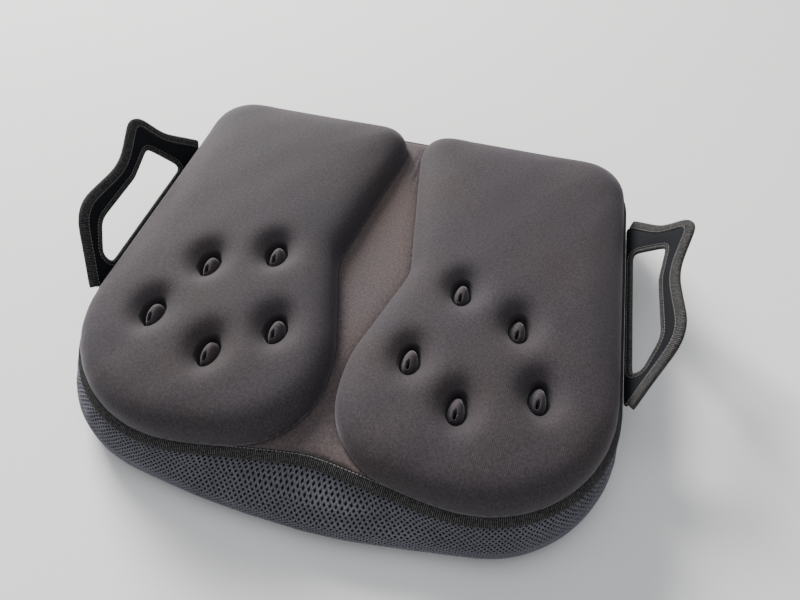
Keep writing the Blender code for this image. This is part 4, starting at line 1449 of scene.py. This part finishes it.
class CUSHION_OT_make_zip(bpy.types.Operator):
    """Make the coil zip in the rear of the band: tapes, teeth, hems, slider and pull"""

    bl_idname = "cushion.make_zip"
    bl_label = "Make Zip"

    def execute(self, context):
        weave = woven_finish("zip_tape_weave", (0.020, 0.020, 0.022), 260.0)
        nylon = rubber_finish("zip_nylon", (0.026, 0.026, 0.028), 0.35)
        enamel = enamel_finish("zip_enamel", (0.030, 0.030, 0.032))
        _, thread = tape_materials(context)
        hem, hem_rise, tooth_pitch = 0.0028, 0.0016, 0.0015
        for row in ("upper", "lower"):
            low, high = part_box("zip_tape_" + row)
            if row == "upper":
                high.z += hem
                level = high.z - 0.0016
            else:
                low.z -= hem
                level = low.z + 0.0016
            high.y += hem_rise
            tape = box_piece(f"zip_{row}_tape", low, high, weave, 0.0006)
            mounted(tape, "cushion", "zip_tape", "zip_tape_" + row)
            ends = np.array([(low.x + 0.002, high.y, level), (high.x - 0.002, high.y, level)])
            stitches = stitch_row(f"zip_{row}_stitches", ends, False, context.scene.cushion_tapes, thread)
            mounted(stitches, "cushion", "zip_tape")
        for row, start in (("upper", 0.75), ("lower", 0.5)):
            low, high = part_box("zip_teeth_" + row)
            count = int((high.x - low.x) / tooth_pitch)
            places = np.full((count, 3), [0.0, (low.y + high.y) / 2, (low.z + high.z) / 2])
            places[:, 0] = low.x + (np.arange(count) + start) * tooth_pitch
            tooth = ball("coil_tooth", 8, 6, (tooth_pitch * 0.72, high.y - low.y, high.z - low.z + 0.0006))
            teeth = scattered(f"zip_{row}_teeth", places, tooth, nylon)
            mounted(teeth, "cushion", "zip_teeth", "zip_teeth_" + row)
        for node in ("zip_stop_left", "zip_stop_right"):
            low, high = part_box(node)
            stop = box_piece(node + "_clip", low, high, enamel, 0.0004)
            mounted(stop, "cushion", "zip_metal", node)
        slider = frame["nodes"]["zip_slider"]
        slider.data.materials.clear()
        slider.data.materials.append(enamel)
        self.make_pull(enamel)
        return {"FINISHED"}

    def make_pull(self, enamel):
        """A tapering pull with a rounded end and an eye near its top, its edges bevelled."""
        low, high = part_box("zip_pull")
        middle, half = (low.x + high.x) / 2, (high.x - low.x) / 2
        y = (low.y + high.y) / 2
        thick = (high.y - low.y) / 2
        outline = [(-half, high.z), (-half, high.z - 0.004), (-0.7 * half, high.z - 0.008)]
        outline += [(-0.95 * half, low.z + 0.003), (-0.6 * half, low.z + 0.0006), (0.0, low.z)]
        outline += [(-x, z) for x, z in outline[-2::-1]]
        eye = [(-0.5 * half, high.z - 0.0010), (-0.5 * half, high.z - 0.0036)]
        eye += [(0.5 * half, high.z - 0.0036), (0.5 * half, high.z - 0.0010)]
        flat = [Vector(p) for p in outline + eye]
        count = len(outline)
        edges = [(k, (k + 1) % count) for k in range(count)]
        edges += [(count + k, count + (k + 1) % 4) for k in range(4)]
        result = geometry.delaunay_2d_cdt(flat, edges, [], 0, 1e-7)
        points = np.array([v[:] for v in result[0]])
        faces = np.array(result[2])
        centres = points[faces].mean(axis=1)
        faces = faces[inside(centres, np.array(outline)) & ~inside(centres, np.array(eye))]
        faces = facing_up(points, faces)
        front = np.column_stack([middle + points[:, 0], np.full(len(points), y - thick), points[:, 1]])
        back = front + np.array([0, 2 * thick, 0])
        body, closed = closed_between(front, back, faces)
        pull = rounded(new_piece("zip_pull_tab", body, closed, enamel, smooth=False), 0.0002)
        mounted(pull, "zip_pull", "zip_metal", "zip_pull")


# Underside


class CUSHION_OT_make_underside(bpy.types.Operator):
    """Make the non-slip underside with its rubber dots"""

    bl_idname = "cushion.make_underside"
    bl_label = "Make Underside"

    def execute(self, context):
        colours = context.scene.cushion_colours
        low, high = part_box("bottom_panel")
        border = outline_of("bottom_panel", (low.z + high.z) / 2)
        border = respaced(border, 0.004)
        cloth = woven_finish("grip_cloth", tuple(colours.grip), 300.0)
        rubber = rubber_finish("grip_rubber", scaled(tuple(colours.grip), 0.7), 0.5)
        dot_rise = 0.0006
        rows = []
        edge, foot = 0.0006, low.z + dot_rise
        for inset, height in ((0.0016, foot), (0.0, foot + edge), (0.0, high.z - edge), (0.0012, high.z)):
            rows.append(np.column_stack([offset_loop(border, -inset), np.full(len(border), height)]))
        panel = lofted_piece("grip_panel", rows, cloth)
        panel.data.shade_flat()
        mounted(panel, "cushion", "grip_fabric", "bottom_panel")
        grid = spread_grid(border.min(axis=0), border.max(axis=0), 0.0085)
        grid = grid[inside(grid, offset_loop(border, -0.008))]
        dot = ball("grip_dot", 10, 6, (0.0032, 0.0032, 2 * dot_rise))
        places = np.column_stack([grid, np.full(len(grid), low.z + dot_rise)])
        dots = scattered("grip_dots", places, dot, rubber)
        mounted(dots, "cushion", "grip_fabric")
        return {"FINISHED"}


# Stage


def area_light(name, place, target, size, watts, colour):
    light = bpy.data.lights.new(name, "AREA")
    light.shape = "RECTANGLE"
    light.size, light.size_y = size
    light.energy = watts
    light.color = colour
    lamp = bpy.data.objects.new(name, light)
    bpy.context.scene.collection.objects.link(lamp)
    lamp.location = place
    lamp.rotation_euler = (Vector(target) - Vector(place)).to_track_quat("-Z", "Y").to_euler()
    return lamp


class CUSHION_OT_set_stage(bpy.types.Operator):
    """Set a pale floor, soft studio light and the camera"""

    bl_idname = "cushion.set_stage"
    bl_label = "Set Stage"

    def execute(self, context):
        scene = context.scene
        settings = scene.cushion_stage
        turn, rise, roll = (math.radians(v) for v in (settings.turn, settings.rise, settings.roll))
        back = Vector((math.sin(turn) * math.cos(rise), -math.cos(turn) * math.cos(rise), math.sin(rise)))
        right = Vector((math.cos(turn), math.sin(turn), 0.0))
        up = back.cross(right)
        tilted_right = math.cos(roll) * right + math.sin(roll) * up
        tilted_up = math.cos(roll) * up - math.sin(roll) * right
        camera = bpy.data.objects.new("camera", bpy.data.cameras.new("camera"))
        scene.collection.objects.link(camera)
        camera.matrix_world = Matrix((tilted_right, tilted_up, back)).transposed().to_4x4()
        camera.location = settings.camera
        camera.data.lens = settings.lens
        camera.data.clip_start = 0.01
        scene.camera = camera

        span = 6.0
        level = CAD_BOX[0][2] - 0.0002
        corners = [(x * span, y * span, level) for x, y in ((-1, -1), (1, -1), (1, 1), (-1, 1))]
        floor_material = bpy.data.materials.new("pale_floor")
        floor_material.use_nodes = True
        shader = floor_material.node_tree.nodes["Principled BSDF"]
        shader.inputs["Base Color"].default_value = (0.80, 0.80, 0.80, 1.0)
        shader.inputs["Roughness"].default_value = 0.9
        floor = new_piece("floor", corners, [(0, 1, 2, 3)], floor_material, smooth=False)

        world = bpy.data.worlds.new("soft_surround")
        scene.world = world
        world.use_nodes = True
        world.node_tree.nodes["Background"].inputs["Color"].default_value = (0.93, 0.96, 1.0, 1.0)
        world.node_tree.nodes["Background"].inputs["Strength"].default_value = 0.33
        area_light("window", (-2.4, 2.5, 1.85), (0, 0.02, 0.05), (1.55, 1.55), 430, (1.0, 0.98, 0.95))
        area_light("ceiling", (-0.2, 0.2, 1.9), (0, 0, 0), (1.6, 1.6), 14, (1.0, 1.0, 1.0))
        area_light("front_fill", (0.3, -1.7, 1.1), (0, -0.1, 0.03), (1.4, 0.9), 8, (0.93, 0.95, 1.0))
        return {"FINISHED"}


class CUSHION_PT_panel(bpy.types.Panel):
    """Buttons and sizes for the cushion"""

    bl_label = "Seat Cushion"
    bl_space_type = "VIEW_3D"
    bl_region_type = "UI"
    bl_category = "Cushion"

    def draw(self, context):
        layout = self.layout
        for operator in OPERATORS:
            layout.operator(operator.bl_idname)
        for name, group in SETTINGS.items():
            box = layout.box()
            for key in group.__annotations__:
                box.prop(getattr(context.scene, name), key)


OPERATORS = (
    CUSHION_OT_set_stage,
    CUSHION_OT_make_pads,
    CUSHION_OT_make_vents,
    CUSHION_OT_make_channel_cover,
    CUSHION_OT_make_top_binding,
    CUSHION_OT_make_side_band,
    CUSHION_OT_make_handles,
    CUSHION_OT_make_zip,
    CUSHION_OT_make_underside,
)


def register():
    for group in SETTINGS.values():
        bpy.utils.register_class(group)
    for item in (*OPERATORS, CUSHION_PT_panel):
        bpy.utils.register_class(item)
    for name, group in SETTINGS.items():
        setattr(bpy.types.Scene, name, bpy.props.PointerProperty(type=group))


def unregister():
    for name in SETTINGS:
        delattr(bpy.types.Scene, name)
    for item in reversed((*SETTINGS.values(), *OPERATORS, CUSHION_PT_panel)):
        bpy.utils.unregister_class(item)


def main():
    register()
    for operator in OPERATORS:
        group, name = operator.bl_idname.split(".")
        getattr(getattr(bpy.ops, group), name)()


if __name__ == "__main__":
    main()
